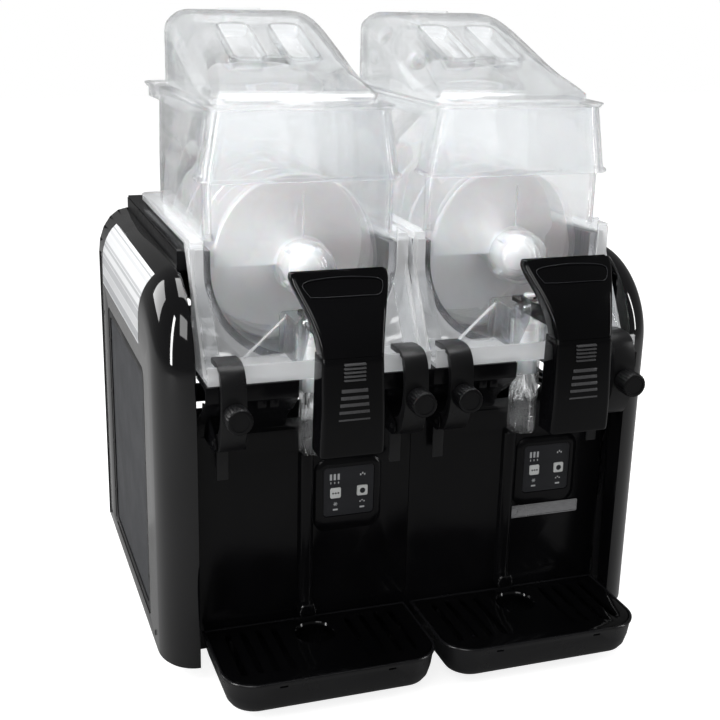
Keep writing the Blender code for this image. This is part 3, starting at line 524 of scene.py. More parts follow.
def screws():
    spots = [(side, y, z) for side in (-1, 1) for y, z in ((-0.082, 0.034), (0.236, 0.034), (0.236, 0.3))]
    for number, (side, y, z) in enumerate(spots):
        x = side * (HALF_WIDTH - 0.0015)
        head = turned("x", (y, z), [(x, 0.004), (x + side * 0.001, 0.004), (x + side * 0.0014, 0.003)], 24)
        slit = box(sorted((x + side * 0.0008, x + side * 0.004)), (y - 0.0005, y + 0.0005), (z - 0.002, z + 0.002))
        piece(f"side_screw_{number}", "machine", "satin", head, [("-", slit)])


def rear_details():
    dress("rear_panel", "paint", 0.0006)
    for number, (x, z) in enumerate([(a, b) for a in (-0.245, 0.0, 0.245) for b in (0.045, 0.385)]):
        head = turned("y", (x, z), [(0.2615, 0.0042), (0.2619, 0.0042), (0.262, 0.0034)], 24)
        piece(f"rear_screw_{number}", "machine", "chrome", head)


def deck():
    """Rails beside the bowls, and motor housings with louvres behind them."""
    half = PANEL_INNER - 0.0003
    openings, housings, hollows, hub_holes, louvres = (bmesh.new() for _ in range(5))
    for x in BAYS.values():
        add_box(openings, (x - 0.109, x + 0.109), (-0.07, 0.1895), (0.4, 0.45))
        add_prism(housings, rounded((x - 0.058, x + 0.058), (0.38, 0.489), 0.02, 10), "y", 0.2005, 0.2583)
        add_prism(hollows, rounded((x - 0.054, x + 0.054), (0.36, 0.485), 0.017, 10), "y", 0.2035, 0.27)
        add_turned(hub_holes, "y", (x, AXIS_Z), [(0.185, 0.019), (0.205, 0.019)], 40)
        for row in range(4):
            for start in (-0.046, 0.03):
                z = 0.462 + 0.0055 * row
                add_box(louvres, (x + start, x + start + 0.016), (0.195, 0.2045), (z, z + 0.0025))
    step = box((-0.222, 0.222), (0.2, 0.26), (0.4215, 0.45))
    piece("casing_deck", "machine", "satin", box((-half, half), (-0.058, 0.2583), (0.418, 0.437)),
          [("-", openings), ("-", step), ("+", housings), ("-", hollows), ("-", hub_holes), ("-", louvres)],
          bevel=0.0008, segments=2, replaces=["top_deck"])
    for number, side in enumerate((-1, 1)):
        section = [(-0.056, 0.4372), (0.255, 0.4372), (0.255, 0.44), (-0.05, 0.44)]
        rail = prism(section, "x", *sorted((side * 0.2155, side * 0.2333)))
        piece(f"deck_rail_{number}", "machine", "front", rail, bevel=0.0008)


def front_panel(bay):
    """A bay's front: rail, swept face, raised bezel round the keys, and the round channel."""
    curve = arc((FACE_Y - 0.045, 0.235), (0.045, 0.062), 75, 0, 24)
    outer = [(-0.125, 0.3305), (-0.167, 0.3305), (-0.167, 0.3145)] + curve + [(FACE_Y, 0.024)]
    inner = [(-0.125, 0.3275), (-0.164, 0.3275), (-0.164, 0.3159)]
    inner += [(y + 0.003, z + 0.002) for y, z in curve] + [(FACE_Y + 0.003, 0.024)]
    half = 0.1147
    channel = turned("z", (0, FACE_Y), [(0.057, 0.0085), (0.233, 0.0085), (0.2355, 0.007)], 40)
    bezel_rings = []
    for rise, grow, drop in ((-0.001, 0.01, 0.0085), (0.0012, 0.0092, 0.0075), (0.003, 0.007, 0.005),
                             (0.004, 0.0045, 0.002), (0.0042, 0.0025, 0.0)):
        x = (0.0185 - grow, 0.0735 + grow)
        z = (0.16 - grow - drop, 0.2144 + grow)
        bezel_rings.append([(a, FACE_Y - rise, b) for a, b in rounded(x, z, 0.004 + grow)])
    bezel = loft(bezel_rings)
    pocket = prism(rounded((0.018, 0.074), (0.1595, 0.2149), 0.0045), "y", -0.13, FACE_Y - 0.0002)
    lugs = bmesh.new()
    for x in (-STRAP_X, STRAP_X):
        for offset in (-0.0155, 0.0135):
            outline = [(-0.11, 0.263), (-0.158, 0.263)] + arc(CLAMP_PIVOT, (0.008, 0.009), 270, 130, 12)
            outline += [(-0.13, 0.296), (-0.11, 0.296)]
            add_prism(lugs, outline, "x", x + offset, x + offset + 0.002)
    pins = turned("x", CLAMP_PIVOT, [(-0.112, 0.003), (0.112, 0.003)], 24)
    piece("casing_front_" + bay, "machine", "front", prism(outer + inner[::-1], "x", -half, half),
          [("+", channel), ("+", bezel), ("-", pocket), ("+", lugs),
           ("-", box((-0.024, 0.024), (-0.175, -0.1185), (0.24, 0.34))), ("-", pins)],
          bay=bay, bevel=0.0006, segments=2, smooth=40, replaces=["front_panel_" + bay])
    spout = [(-0.0095, -0.11), (-0.0095, -0.1265), (-0.0075, -0.1285)]
    spout += [(-x, y) for x, y in spout[::-1]]
    levels = ((0.0535, 1.0), (0.058, 1.0), (0.064, 0.86), (0.0665, 0.7))
    spout_form = loft([[(x * grow, y, z) for x, y in spout] for z, grow in levels])
    piece("channel_spout_" + bay, "machine", "gloss", spout_form, bay=bay, bevel=0.001)
    for number, x in enumerate((-STRAP_X, STRAP_X)):
        tail = [(-0.13, 0.262), (-0.128, 0.262), (-0.1275, 0.222), (-0.1295, 0.22)]
        shape = prism(tail, "x", x - 0.006, x + 0.006)
        piece(f"strap_tail_{bay}_{number}", "machine", "strap", shape, bay=bay, bevel=0.0005)
    for number, x in enumerate((-0.06, -0.048, 0.048, 0.06)):
        hook = [(-0.166, 0.314), (-0.15, 0.314), (-0.15, 0.304), (-0.16, 0.301), (-0.166, 0.306)]
        shape = prism(hook, "x", x - 0.0045, x + 0.0045)
        piece(f"rail_hook_{bay}_{number}", "machine", "front", shape, bay=bay, bevel=0.0012)


def badge():
    """A plain metal plate with a raised rim and no words."""
    plate = prism(rounded((0.002, 0.09), (0.129, 0.144), 0.002), "y", FACE_Y - 0.0016, FACE_Y - 0.0002)
    piece("plain_badge", "machine", "badge", plate,
          [("-", prism(rounded((0.0035, 0.0885), (0.1305, 0.1425), 0.0012), "y", -0.12, FACE_Y - 0.0012))],
          bay="right", bevel=0.0002)
    ring = turned("y", (0.0125, 0.1365), [(FACE_Y - 0.0017, 0.0048), (FACE_Y - 0.001, 0.005)], 32)
    piece("badge_ring", "machine", "badge", ring,
          [("-", turned("y", (0.0125, 0.1365), [(-0.12, 0.0034), (-0.11, 0.0034)], 32))], bay="right")


# ---------------------------------------------------------------- controls


def controls(bay):
    holes = bmesh.new()
    for x in KEY_X.values():
        add_prism(holes, rounded((x - 0.00605, x + 0.00605), (0.17995, 0.19205), 0.0018), "y", -0.12, -0.1)
    plate = prism(rounded((0.0185, 0.0735), (0.16, 0.2144), 0.004), "y", -0.116, FACE_Y - 0.0003)
    piece("key_plate_" + bay, "machine", "plate", plate, [("-", holes)], bay=bay, bevel=0.0003,
          replaces=["control_panel_" + bay])
    marks = []
    for i in range(3):
        marks.append((0.0262 + 0.0042 * i, 0.204, 0.0012, 0.0034))
        marks.append((0.0262 + 0.0042 * i, 0.1975, 0.0005, 0.0011))
    marks += [(x, 0.1672, 0.0026, 0.0009) for x in KEY_X.values()]
    marks += [(0.0588 + 0.0022 * i, 0.204 + 0.0014 * (i % 2), 0.0007, 0.001) for i in range(3)]
    marks += [(0.0588 + 0.0022 * i, 0.1735 + 0.0014 * (i % 2), 0.0007, 0.0007) for i in range(3)]
    dots = bmesh.new()
    for x, z, width, height in marks:
        add_box(dots, (x - width, x + width), (-0.11615, -0.1158), (z - height, z + height))
    for i in range(3):
        turn = Matrix.Rotation(math.radians(60 * i), 4, "Y")
        bar = box((-0.0022, 0.0022), (-0.0001, 0.0001), (-0.00035, 0.00035))
        bmesh.ops.transform(bar, matrix=Matrix.Translation((0.0315, -0.11605, 0.1735)) @ turn, verts=bar.verts)
        source = bpy.data.meshes.new("bar")
        bar.to_mesh(source)
        bar.free()
        dots.from_mesh(source)
        bpy.data.meshes.remove(source)
    piece("plate_marks_" + bay, "machine", "print", dots, bay=bay)
    for use, x in KEY_X.items():
        shape = prism(rounded((x - 0.00575, x + 0.00575), (0.18025, 0.19175), 0.0016), "y", -0.1168, -0.1136)
        body = f"{use}_key_{bay}"
        piece(f"key_{use}_{bay}", body, "key", shape, bay=bay, bevel=0.0004, replaces=[body])
        if use == "mode":
            mark = bmesh.new()
            for i in range(3):
                add_turned(mark, "y", (x - 0.0028 + 0.0028 * i, 0.186), [(-0.11692, 0.001), (-0.1166, 0.001)], 16)
        else:
            mark = turned("y", (x, 0.186), [(-0.11692, 0.003), (-0.1166, 0.003)], 32)
        piece(f"key_mark_{use}_{bay}", body, "plate", mark, bay=bay)


# ---------------------------------------------------------------- bowl, lid and tap


def half_round(radius, top):
    return arc((0, AXIS_Z), (radius, radius), 180, 360, 64) + [(radius, top), (-radius, top)]


def trough(bay):
    front = -0.0899
    body = prism(half_round(0.108, 0.47), "y", front, 0.1885)
    piece("cold_trough_" + bay, "machine", "steel", body,
          [("-", box((-0.2, 0.2), (-0.2, 0.3), (0.4437, 0.5))),
           ("-", prism(half_round(0.092, 0.47), "y", front - 0.01, 0.183)),
           ("+", on_axis([(0.183, 0.017), (0.2, 0.017)])),
           ("-", on_axis([(0.17, 0.0088), (0.21, 0.0088)]))],
          bay=bay, bevel=0.0008, segments=3, replaces=["evaporator_" + bay])


def bowl(bay):
    """The clear bowl: its walls, the window in front of the auger and the nose over the auger's cap."""
    outside = rounded((-0.098, 0.098), (BOWL_FRONT, BOWL_BACK), (0.014, 0.045), 12)
    inside = rounded((-0.095, 0.095), (-0.0902, 0.183), (0.011, 0.042), 12)
    window = prism(half_round(0.0996, 0.46), "y", BOWL_FRONT, -0.0904)
    nose = [(-0.134, 0.008), (-0.1326, 0.0135), (-0.13, 0.018), (-0.1268, 0.0222), (-0.1235, 0.025),
            (-0.1195, 0.027), (-0.115, 0.028), (-0.1, 0.029), (-0.0915, 0.03)]
    hollow = [(-0.131, 0.006), (-0.1295, 0.011), (-0.127, 0.015), (-0.1215, 0.0215), (-0.114, 0.0248),
              (-0.08, 0.0268)]
    parts = [("-", upright(inside, 0.44, 0.6)), ("+", window), ("+", on_axis(nose)),
             ("+", box((-0.0006, 0.0006), (-0.0955, -0.0915), (0.452, 0.498))), ("-", on_axis(hollow)),
             ("-", turned("y", (0, PASSAGE_Z), [(-0.1, 0.0062), (-0.08, 0.0062)], 24))]
    piece("clear_bowl_" + bay, "machine", "clear",
          upright(outside, FLANGE_TOP, RIM_Z), parts, bay=bay,
          bevel=0.0009, segments=3, smooth=50, replaces=["bowl_" + bay])


def bowl_base(bay):
    """The milky foot of the bowl's moulding: flange, ring round the window, ledge and corner webs."""
    across = (-0.112, 0.112)
    window = prism(half_round(0.0999, 0.46), "y", -0.2, -0.08)
    ring = prism(half_round(0.1085, FLANGE_LOW), "y", -0.0952, -0.091)
    parts = [("-", prism(rounded((-0.0955, 0.0955), (-0.09, 0.1835), (0.011, 0.042), 12), "z", 0.44, 0.6)),
             ("+", box(across, (BOWL_FRONT, -0.0902), (LEDGE_LOW, 0.45))), ("+", ring), ("-", window),
             ("+", box(across, (-0.165, -0.091), (LEDGE_LOW, 0.335))),
             ("+", box(across, (-0.165, -0.162), (LEDGE_LOW, 0.349))),
             ("+", box(across, (-0.16, -0.158), (LEDGE_LOW, 0.3375))),
             ("-", in_tap([(0.32, 0.0165), (0.36, 0.0165)]))]
    web = [(-0.05, FLANGE_LOW), (-0.05, FLANGE_TOP), (-0.06, FLANGE_TOP)]
    web += arc((-0.064, 0.4335), (0.02, 0.02), 90, 146, 8)
    web += [(-0.145, 0.333), (-0.145, LEDGE_LOW), (-0.0915, LEDGE_LOW), (-0.0915, 0.4), (-0.06, FLANGE_LOW)]
    webs = bmesh.new()
    for x in (-0.112, 0.1096):
        add_prism(webs, web, "x", x, x + 0.0024)
    parts.append(("+", webs))
    flange = prism(rounded(across, (-0.0925, 0.1975), (0.002, 0.012), 6), "z", FLANGE_LOW, FLANGE_TOP - 0.0002)
    piece("bowl_base_" + bay, "machine", "milky", flange, parts, bay=bay,
          bevel=0.0008, segments=3, smooth=50)
    slopes = bmesh.new()
    slope = [(-0.0935, 0.412), (-0.144, 0.338), (-0.144, 0.3352), (-0.0935, 0.408)]
    for x in (-0.1085, 0.094):
        add_prism(slopes, slope, "x", x, x + 0.0145)
    piece("corner_slopes_" + bay, "machine", "clear", slopes, bay=bay, bevel=0.0006)
    run = [(-0.062, 0.3352), (-0.06, 0.3352), (-0.0175, 0.3742), (-0.019, 0.3748)]
    piece("diagonal_rib_" + bay, "machine", "milky", prism(run, "y", -0.1, -0.095), bay=bay,
          bevel=0.0003)


def tap(bay):
    """The clear tap that the lever works: tube, passage, mounting plate and lugs."""
    tube = [(0.2455, 0.0138), (0.247, 0.015), (0.264, 0.015), (0.2646, 0.0145), (0.2656, 0.0145),
            (0.2662, 0.015), (0.337, 0.015), (0.342, 0.016), (0.346, 0.018), (0.37, 0.018),
            (0.376, 0.0172), (0.3805, 0.015), (0.383, 0.0118)]
    lugs = bmesh.new()
    lug = [(-0.095, 0.338), (-0.15, 0.338), (-0.174, 0.375)] + arc(PIVOT, (0.0085, 0.008), 190, 80, 12)
    lug += [(-0.14, 0.378), (-0.095, 0.378)]
    for x in (-0.02, 0.017):
        add_prism(lugs, lug, "x", x, x + 0.003)
    parts = [("+", turned("y", (0, PASSAGE_Z), [(TAP_Y, 0.01), (-0.0945, 0.01)], 32)),
             ("+", prism(rounded((-0.024, 0.024), (0.3375, 0.38), 0.004), "y", -0.097, -0.0935)), ("+", lugs),
             ("-", in_tap([(0.24, 0.012), (0.3798, 0.012)])),
             ("-", in_tap([(0.37, 0.0045), (0.4, 0.0045)], 24)),
             ("-", turned("y", (0, PASSAGE_Z), [(TAP_Y, 0.0062), (-0.08, 0.0062)], 24)),
             ("-", turned("x", PIVOT, [(-0.03, 0.003), (0.03, 0.003)], 24))]
    piece("clear_tap_" + bay, "machine", "clear", in_tap(tube), parts, bay=bay,
          bevel=0.0006, segments=3, smooth=50, replaces=["tap_body_" + bay])


def dome_height(y, inset):
    """The dome's top along its length."""
    points = [(DOME_TURN, 0.586), (-0.074, 0.5915), (-0.06, 0.5975), (0.0, 0.619), (0.06, 0.6395),
              (0.1, 0.6525), (0.125, 0.6585), (0.145, 0.661), (0.19, 0.661)]
    for (y0, z0), (y1, z1) in zip(points, points[1:]):
        if y <= y1:
            share = (y - y0) / (y1 - y0)
            return z0 + (z1 - z0) * share - inset
    return points[-1][1] - inset


def dome_form(inset, low):
    """The dome as a solid: rings across it, rounded over at both sides and at the back."""
    stations = [DOME_FRONT, -0.0838, -0.0825, DOME_TURN, -0.076, -0.07, -0.06, -0.03, 0.0, 0.03, 0.06, 0.09,
                0.11, 0.125, 0.14, 0.155, 0.165, 0.172, 0.178, 0.182, 0.1845, 0.186, DOME_BACK]
    back_round = 0.0165
    rings = []
    for y in stations:
        at = min(max(y, DOME_FRONT + inset), DOME_BACK - inset)
        top = dome_height(max(y, DOME_TURN), inset)
        front_drop = max(0.0, (DOME_TURN - y)) * 1.2
        back = max(0.0, y - 0.17) / back_round
        top -= front_drop + back_round * (1 - math.sqrt(max(0.0, 1 - back * back)))
        half = 0.0865 - inset
        radius = min(0.03, max(0.0015, (top - 0.579) * 0.9))
        ring = [(-half, at, low)]
        ring += [(a, at, b) for a, b in arc((-half + radius, top - radius), (radius, radius), 180, 90, 10)]
        ring += [(a, at, b) for a, b in arc((half - radius, top - radius), (radius, radius), 90, 0, 10)]
        ring.append((half, at, low))
        rings.append(ring)
    return rings


def distinct(rings):
    """Leaves out rings that lie on their neighbour."""
    kept = [rings[0]]
    for ring in rings[1:]:
        if ring[0][1] - kept[-1][0][1] > 0.0002:
            kept.append(ring)
    return kept


def grip_pockets(grow, depth):
    """The two hand grips sunk into the dome's slope."""
    found = bmesh.new()
    for x in ((-0.043, -0.011), (0.014, 0.046)):
        outline = rounded((x[0] - grow, x[1] + grow), (0.002 - grow, 0.094 + grow), 0.009 + grow)
        rings = []
        for lift, shrink in ((0.03, 0.0), (-depth - grow + 0.004, 0.0), (-depth - grow, 0.003)):
            centre = ((x[0] + x[1]) / 2, 0.048)
            ring = []
            for a, b in outline:
                a = centre[0] + (a - centre[0]) * (1 - shrink / 0.02)
                b = centre[1] + (b - centre[1]) * (1 - shrink / 0.05)
                ring.append((a, b, dome_height(b, 0) + lift))
            rings.append(ring)
        add_loft(found, rings)
    return found


def lid(bay):
    """The clear lid: ledge with a bead, skirt, flared front apron, dome and two hand grips."""
    bead = [(0.5095, 0.0006), (0.51, 0.0018), (0.5108, 0.0024), (0.5128, 0.0024), (0.5138, 0.0016),
            (0.5146, 0.0003), (0.52, 0.0), (0.545, 0.0), (0.5795, 0.0)]
    ledge = [(0.5773, -0.0006), (0.5777, 0.0), (0.5786, 0.0), (0.579, -0.0012), (0.5796, -0.0012),
             (0.58, -0.0022), (0.5812, -0.0024)]
    inside = rounded((-0.0998, 0.0998), (-0.1022, 0.1952), 0.0175, 12)
    parts = [("*", prism(rounded((-0.0866, 0.0866), (-0.0841, 0.1866), (0.021, 0.03), 12), "z", 0.55, 0.67)),
             ("+", drawn_in(rounded((-0.1045, 0.1045), (-0.108, 0.201), 0.022, 12), ledge)),
             ("+", drawn_in(rounded((-0.1025, 0.1025), (-0.105, 0.198), 0.02, 12), bead)),
             ("-", upright(inside, 0.495, 0.5773)),
             ("-", box((-0.12, 0.12), (-0.066, 0.22), (0.5, 0.566)))]
    cavity = new_object("cavity_" + bay, loft(distinct(dome_form(0.0028, 0.57))))
    inner_form = prism(rounded((-0.0838, 0.0838), (-0.0813, 0.1838), (0.0182, 0.0272), 12), "z", 0.55, 0.67)
    combine(cavity, [("*", inner_form), ("-", grip_pockets(0.0026, 0.012))], 0.0)
    hollow = bmesh.new()
    hollow.from_mesh(cavity.data)
    bpy.data.objects.remove(cavity)
    parts += [("-", hollow), ("-", grip_pockets(0.0, 0.012)),
              ("+", prism(rounded((-0.024, 0.024), (0.164, 0.172), 0.002), "z", 0.659, 0.6628))]
    dome = loft(distinct(dome_form(0.0, 0.5775)))
    piece("clear_lid_" + bay, "lid_" + bay, "lid", dome, parts,
          bay=bay, bevel=0.0007, segments=2, smooth=50, replaces=["lid_" + bay])
    boss = turned("y", (-0.009, 0.604), [(0.169, 0.0085), (0.17, 0.0095), (0.1834, 0.01)], 32)
    piece("lid_boss_" + bay, "lid_" + bay, "white", boss, bay=bay, bevel=0.0006)
    head = turned("y", (-0.009, 0.604), [(0.165, 0.0034), (0.166, 0.0046), (0.169, 0.0048)], 32)
    piece("lid_screw_" + bay, "lid_" + bay, "chrome", head,
          [("-", box((-0.0096, -0.0084), (0.16, 0.1665), (0.6, 0.608)))], bay=bay, bevel=0.0002)


def auger(bay):
    """The white core and its spiral blade, thicker at its outer edge."""
    steps = 210
    turns, start, end = 3.5, -0.0835, 0.17
    section = [(0.013, -0.0012), (0.03, -0.0004), (0.08, 0.0), (0.0868, 0.0004), (0.088, 0.0016),
               (0.088, 0.0028), (0.0868, 0.004), (0.08, 0.0042), (0.03, 0.0046), (0.013, 0.0054)]
    rings = []
    for i in range(steps + 1):
        angle = math.pi - 2 * math.pi * turns * i / steps
        y = start + (end - start) * i / steps
        out = Vector((math.cos(angle), 0, math.sin(angle)))
        rings.append([Vector((0, y + shift, AXIS_Z)) + out * radius for radius, shift in section])
    parts = [("+", loft(rings)), ("-", on_axis([(0.118, 0.0084), (0.19, 0.0084)]))]
    piece("auger_blade_" + bay, "auger_" + bay, "white", on_axis([(-0.084, 0.017), (0.178, 0.017)]),
          parts, bay=bay, smooth=40, replaces=["auger_" + bay])
    profile = [(-0.125, 0.004), (-0.1246, 0.0062), (-0.123, 0.01), (-0.1207, 0.0136), (-0.118, 0.016),
               (-0.1148, 0.0184), (-0.111, 0.0205), (-0.105, 0.0217), (-0.099, 0.022), (-0.092, 0.021),
               (-0.086, 0.019), (-0.0843, 0.017)]
    ribs = bmesh.new()
    wing = [(-0.0024, 0.017), (0.0024, 0.017), (0.0018, 0.0245), (-0.0018, 0.0245)]
    for i in range(4):
        sine, cosine = (f(math.radians(45 + 90 * i)) for f in (math.sin, math.cos))
        outline = [(a * cosine - b * sine, AXIS_Z + a * sine + b * cosine) for a, b in wing]
        add_prism(ribs, outline, "y", -0.106, -0.092)
    piece("auger_cap_" + bay, "auger_" + bay, "white", on_axis(profile), [("+", ribs)], bay=bay,
          bevel=0.0006, segments=2, smooth=50, replaces=["auger_nut_" + bay])
    piece("auger_shaft_" + bay, "auger_" + bay, "steel", on_axis([(0.12, 0.008), (0.2065, 0.008)]),
          bay=bay, bevel=0.0006, replaces=["drive_shaft_" + bay])


def lever(bay):
    """The pull handle: a hollow flared head with an arched top, on two cheeks."""
    stations = [(0.3795, -0.2575, 0.029, 0.022), (0.396, -0.252, 0.0312, 0.022), (0.415, -0.24, 0.0365, 0.022),
                (0.432, -0.2255, 0.0428, 0.02), (0.443, -0.216, 0.0463, 0.014), (0.449, -0.211, 0.046, 0.0085)]
    stations = smoothed(stations, 5)

    def rings_of(wall, rows, deep):
        rings = []
        for number, (z, y, half, depth) in enumerate(rows):
            share = max(0.0, (z - 0.395) / 0.052)
            deep_end = y + depth + deep
            outline = rounded((wall - half, half - wall), (y + wall, deep_end), (0.004 - wall * 0.6, 0.002), 5)
            arch = 0.0085 * share * share
            ring = []
            for a, b in outline:
                crown = 0.0022 * (1 - (a / half) ** 2)
                ring.append((a, b - crown, z + arch * (1 - (a / half) ** 2) - arch * 0.35))
            rings.append(ring)
        return rings

    hollow = rings_of(0.003, stations[:-5], 0.004)
    hollow[0] = [(a, b, c + 0.003) for a, b, c in hollow[0]]
    hollow = [hollow[0]] + [ring for ring in hollow[1:] if ring[0][2] > hollow[0][0][2] + 0.0005]
    cheeks = bmesh.new()
    cheek = [(-0.2545, 0.3805), (-0.247, 0.404), (-0.236, 0.404), (-0.176, 0.3945), (-0.15, 0.3945),
             (-0.15, 0.3855), (-0.16, 0.38), (-0.23, 0.3802)]
    for x in (-0.0155, 0.0125):
        add_prism(cheeks, cheek, "x", x, x + 0.003)
    fork = prism(rounded((-0.015, 0.015), (-0.1615, -0.125), 0.004), "z", PIVOT[1] - 0.002, PIVOT[1] + 0.002)
    parts = [("-", loft(hollow)), ("+", cheeks), ("+", fork),
             ("-", in_tap([(0.38, 0.0074), (0.4, 0.0074)], 32)),
             ("-", turned("x", PIVOT, [(-0.03, 0.0028), (0.03, 0.0028)], 24))]
    head = loft(rings_of(0.0, stations, 0.0))
    piece("lever_head_" + bay, "lever_" + bay, "lever", head, parts, bay=bay,
          bevel=0.0008, segments=3, smooth=40, replaces=["tap_lever_" + bay])


def lever_outline(bay):
    """The thin raised line that frames the lever's top."""
    low = 0.4285
    rows = []
    for share_x, share_z in ((-0.78, 0.0), (-0.86, 0.55), (-0.74, 0.8), (-0.4, 0.93), (0.0, 0.98), (0.4, 0.93),
                             (0.74, 0.8), (0.86, 0.55), (0.78, 0.0), (0.4, -0.02), (-0.4, -0.02)):
        z = low + 0.015 * share_z
        half = 0.0415 + (z - low) * 0.28
        y = -0.2285 + (z - low) * 0.86
        x = half * share_x
        rows.append(Vector((x, y - 0.0022 * (1 - (x / half) ** 2) + 0.0004, z)))
    curve = bpy.data.curves.new("lever_line_" + bay, "CURVE")
    curve.dimensions = "3D"
    spline = curve.splines.new("POLY")
    rows = [Vector(p) for p in smoothed([*rows, rows[0]], 4)]
    spline.points.add(len(rows) - 1)
    for point, row in zip(spline.points, rows):
        point.co = (*row, 1)
    curve.bevel_depth = 0.00035
    curve.bevel_resolution = 2
    line = bpy.data.objects.new("lever_line_" + bay, curve)
    bpy.context.scene.collection.objects.link(line)
    graph = bpy.context.evaluated_depsgraph_get()
    graph.update()
    mesh = bpy.data.meshes.new_from_object(line.evaluated_get(graph))
    bpy.data.objects.remove(line)
    shape = bmesh.new()
    shape.from_mesh(mesh)
    piece("lever_line_" + bay, "lever_" + bay, "plate", shape, bay=bay)


def lever_cover(bay):
    """The cover below the lever's head, with its two groups of ribs; the ribs' grey is a painted highlight."""
    stations = smoothed([(0.287, -0.2585, 0.03), (0.2885, -0.26, 0.0306), (0.305, -0.261, 0.0304),
                         (0.33, -0.261, 0.0299), (0.3792, -0.2578, 0.029)], 5)
    rings = []
    for z, y, half in stations:
        outline = rounded((-half, half), (y, -0.231), (0.0045, 0.002), 6)
        rings.append([(a, b - 0.001 * (1 - (a / half) ** 2) * (1 if b < -0.245 else 0), z) for a, b in outline])
    ribs = bmesh.new()
    for i in range(5):
        low = 0.3585 + 0.0036 * i
        add_box(ribs, (-0.01, 0.01), (-0.2618, -0.256), (low, low + 0.0016))
    for i in range(5):
        low = 0.3215 + 0.0066 * i
        half = 0.015 - 0.0007 * i
        section = [(-0.256, low - 0.0005), (-0.2619, low + 0.0002), (-0.2612, low + 0.003), (-0.256, low + 0.0034)]
        add_prism(ribs, section, "x", -half, half)
    piece("lever_cover_" + bay, "lever_" + bay, "lever", loft(rings),
          [("-", box((-0.0262, 0.0262), (-0.2545, -0.22), (0.29, 0.376)))], bay=bay, bevel=0.0008, smooth=40,
          replaces=["tap_cover_" + bay])
    # The ribs are painted grey as a painted highlight on the black cover.
    piece("cover_ribs_" + bay, "lever_" + bay, "rib", ribs, bay=bay, bevel=0.0003, segments=2)


def tap_parts(bay):
    """The tap's piston, with two seal grooves, and the lever's hinge pin."""
    profile = [(0.3105, 0.011), (0.3112, 0.0116), (0.325, 0.0116), (0.3256, 0.011), (0.3272, 0.011),
               (0.3278, 0.0116), (0.356, 0.0116), (0.3566, 0.011), (0.3582, 0.011), (0.3588, 0.0116),
               (0.3645, 0.0116), (0.365, 0.0038), (0.391, 0.0038), (0.3911, 0.0062), (0.3935, 0.0056)]
    piece("piston_" + bay, "piston_" + bay, "white", in_tap(profile),
          [("-", in_tap([(0.3, 0.0088), (0.3425, 0.0088)])),
           ("-", box((-0.0058, 0.0058), (TAP_Y, -0.12), (0.3315, 0.342)))], bay=bay, bevel=0.0003,
          replaces=["tap_piston_" + bay])
    pin = turned("x", PIVOT, [(-0.0215, 0.002), (-0.0209, 0.0026), (0.0209, 0.0026), (0.0215, 0.002)], 24)
    piece("hinge_pin_" + bay, "lever_" + bay, "chrome", pin, bay=bay)
    dress("return_spring_" + bay, "chrome")


# ---------------------------------------------------------------- clamps and trays


def clamps(bay):
    """The two straps that hold a bowl down, each with its fluted knob and screw."""
    outer = smoothed([(-0.138, 0.3515), (-0.16, 0.353), (-0.173, 0.349), (-0.181, 0.338), (-0.184, 0.32),
                      (-0.183, 0.296), (-0.176, 0.276), (-0.168, 0.266), (-0.158, 0.2635)], 5)
    inner = smoothed([(-0.156, 0.28), (-0.165, 0.284), (-0.174, 0.298), (-0.177, 0.318), (-0.175, 0.333),
                      (-0.171, 0.342), (-0.167, 0.3464), (-0.138, 0.3464)], 5)
    levels = ((-0.207, 0.7, 0.0), (-0.2071, 0.84, 0.0), (-0.2064, 0.93, 0.3), (-0.205, 0.985, 1.0),
              (-0.189, 0.985, 1.0), (-0.1872, 0.94, 0.6), (-0.186, 0.86, 0.0))
    for place, x in (("outer", -STRAP_X), ("inner", STRAP_X)):
        name = f"clamp_{bay}_{place}"
        strap = prism(outer + inner, "x", x - 0.012, x + 0.012)
        piece("strap_" + name, name, "strap", strap,
              [("-", turned("y", (x, KNOB_Z), [(-0.2, 0.0042), (-0.16, 0.0042)], 24)),
               ("+", turned("x", CLAMP_PIVOT, [(x - 0.016, 0.0025), (x + 0.016, 0.0025)], 24))],
              bay=bay, bevel=0.0009, smooth=40, replaces=[name])
        rings = []
        for y, scale, depth in levels:
            ring = []
            for i in range(144):
                t = 2 * math.pi * i / 144
                radius = 0.013 * scale - 0.00055 * depth * (0.5 - 0.5 * math.cos(24 * t))
                ring.append((x + radius * math.cos(t), y, KNOB_Z + radius * math.sin(t)))
            rings.append(ring)
        screw = turned("y", (x, KNOB_Z), [(-0.19, 0.0032), (-0.1685, 0.0032)], 24)
        face = turned("y", (x, KNOB_Z), [(-0.21, 0.0095), (-0.2062, 0.0088)], 48)
        knob = f"clamp_knob_{bay}_{place}"
        piece("grip_" + knob, knob, "satin", loft(rings),
              [("+", screw), ("-", face)], bay=bay, smooth=40, replaces=[knob])


def tray_outline(inset, back_inset):
    half = 0.112 - inset
    front = -0.236 + inset
    back = -0.1185 - back_inset
    radius = max(0.035 - inset, 0.012)
    points = arc((half - radius, front + radius), (radius, radius), -90, 0, 16)
    points += [(half, back), (-half, back)]
    points += arc((radius - half, front + radius), (radius, radius), 180, 270, 16)
    return points


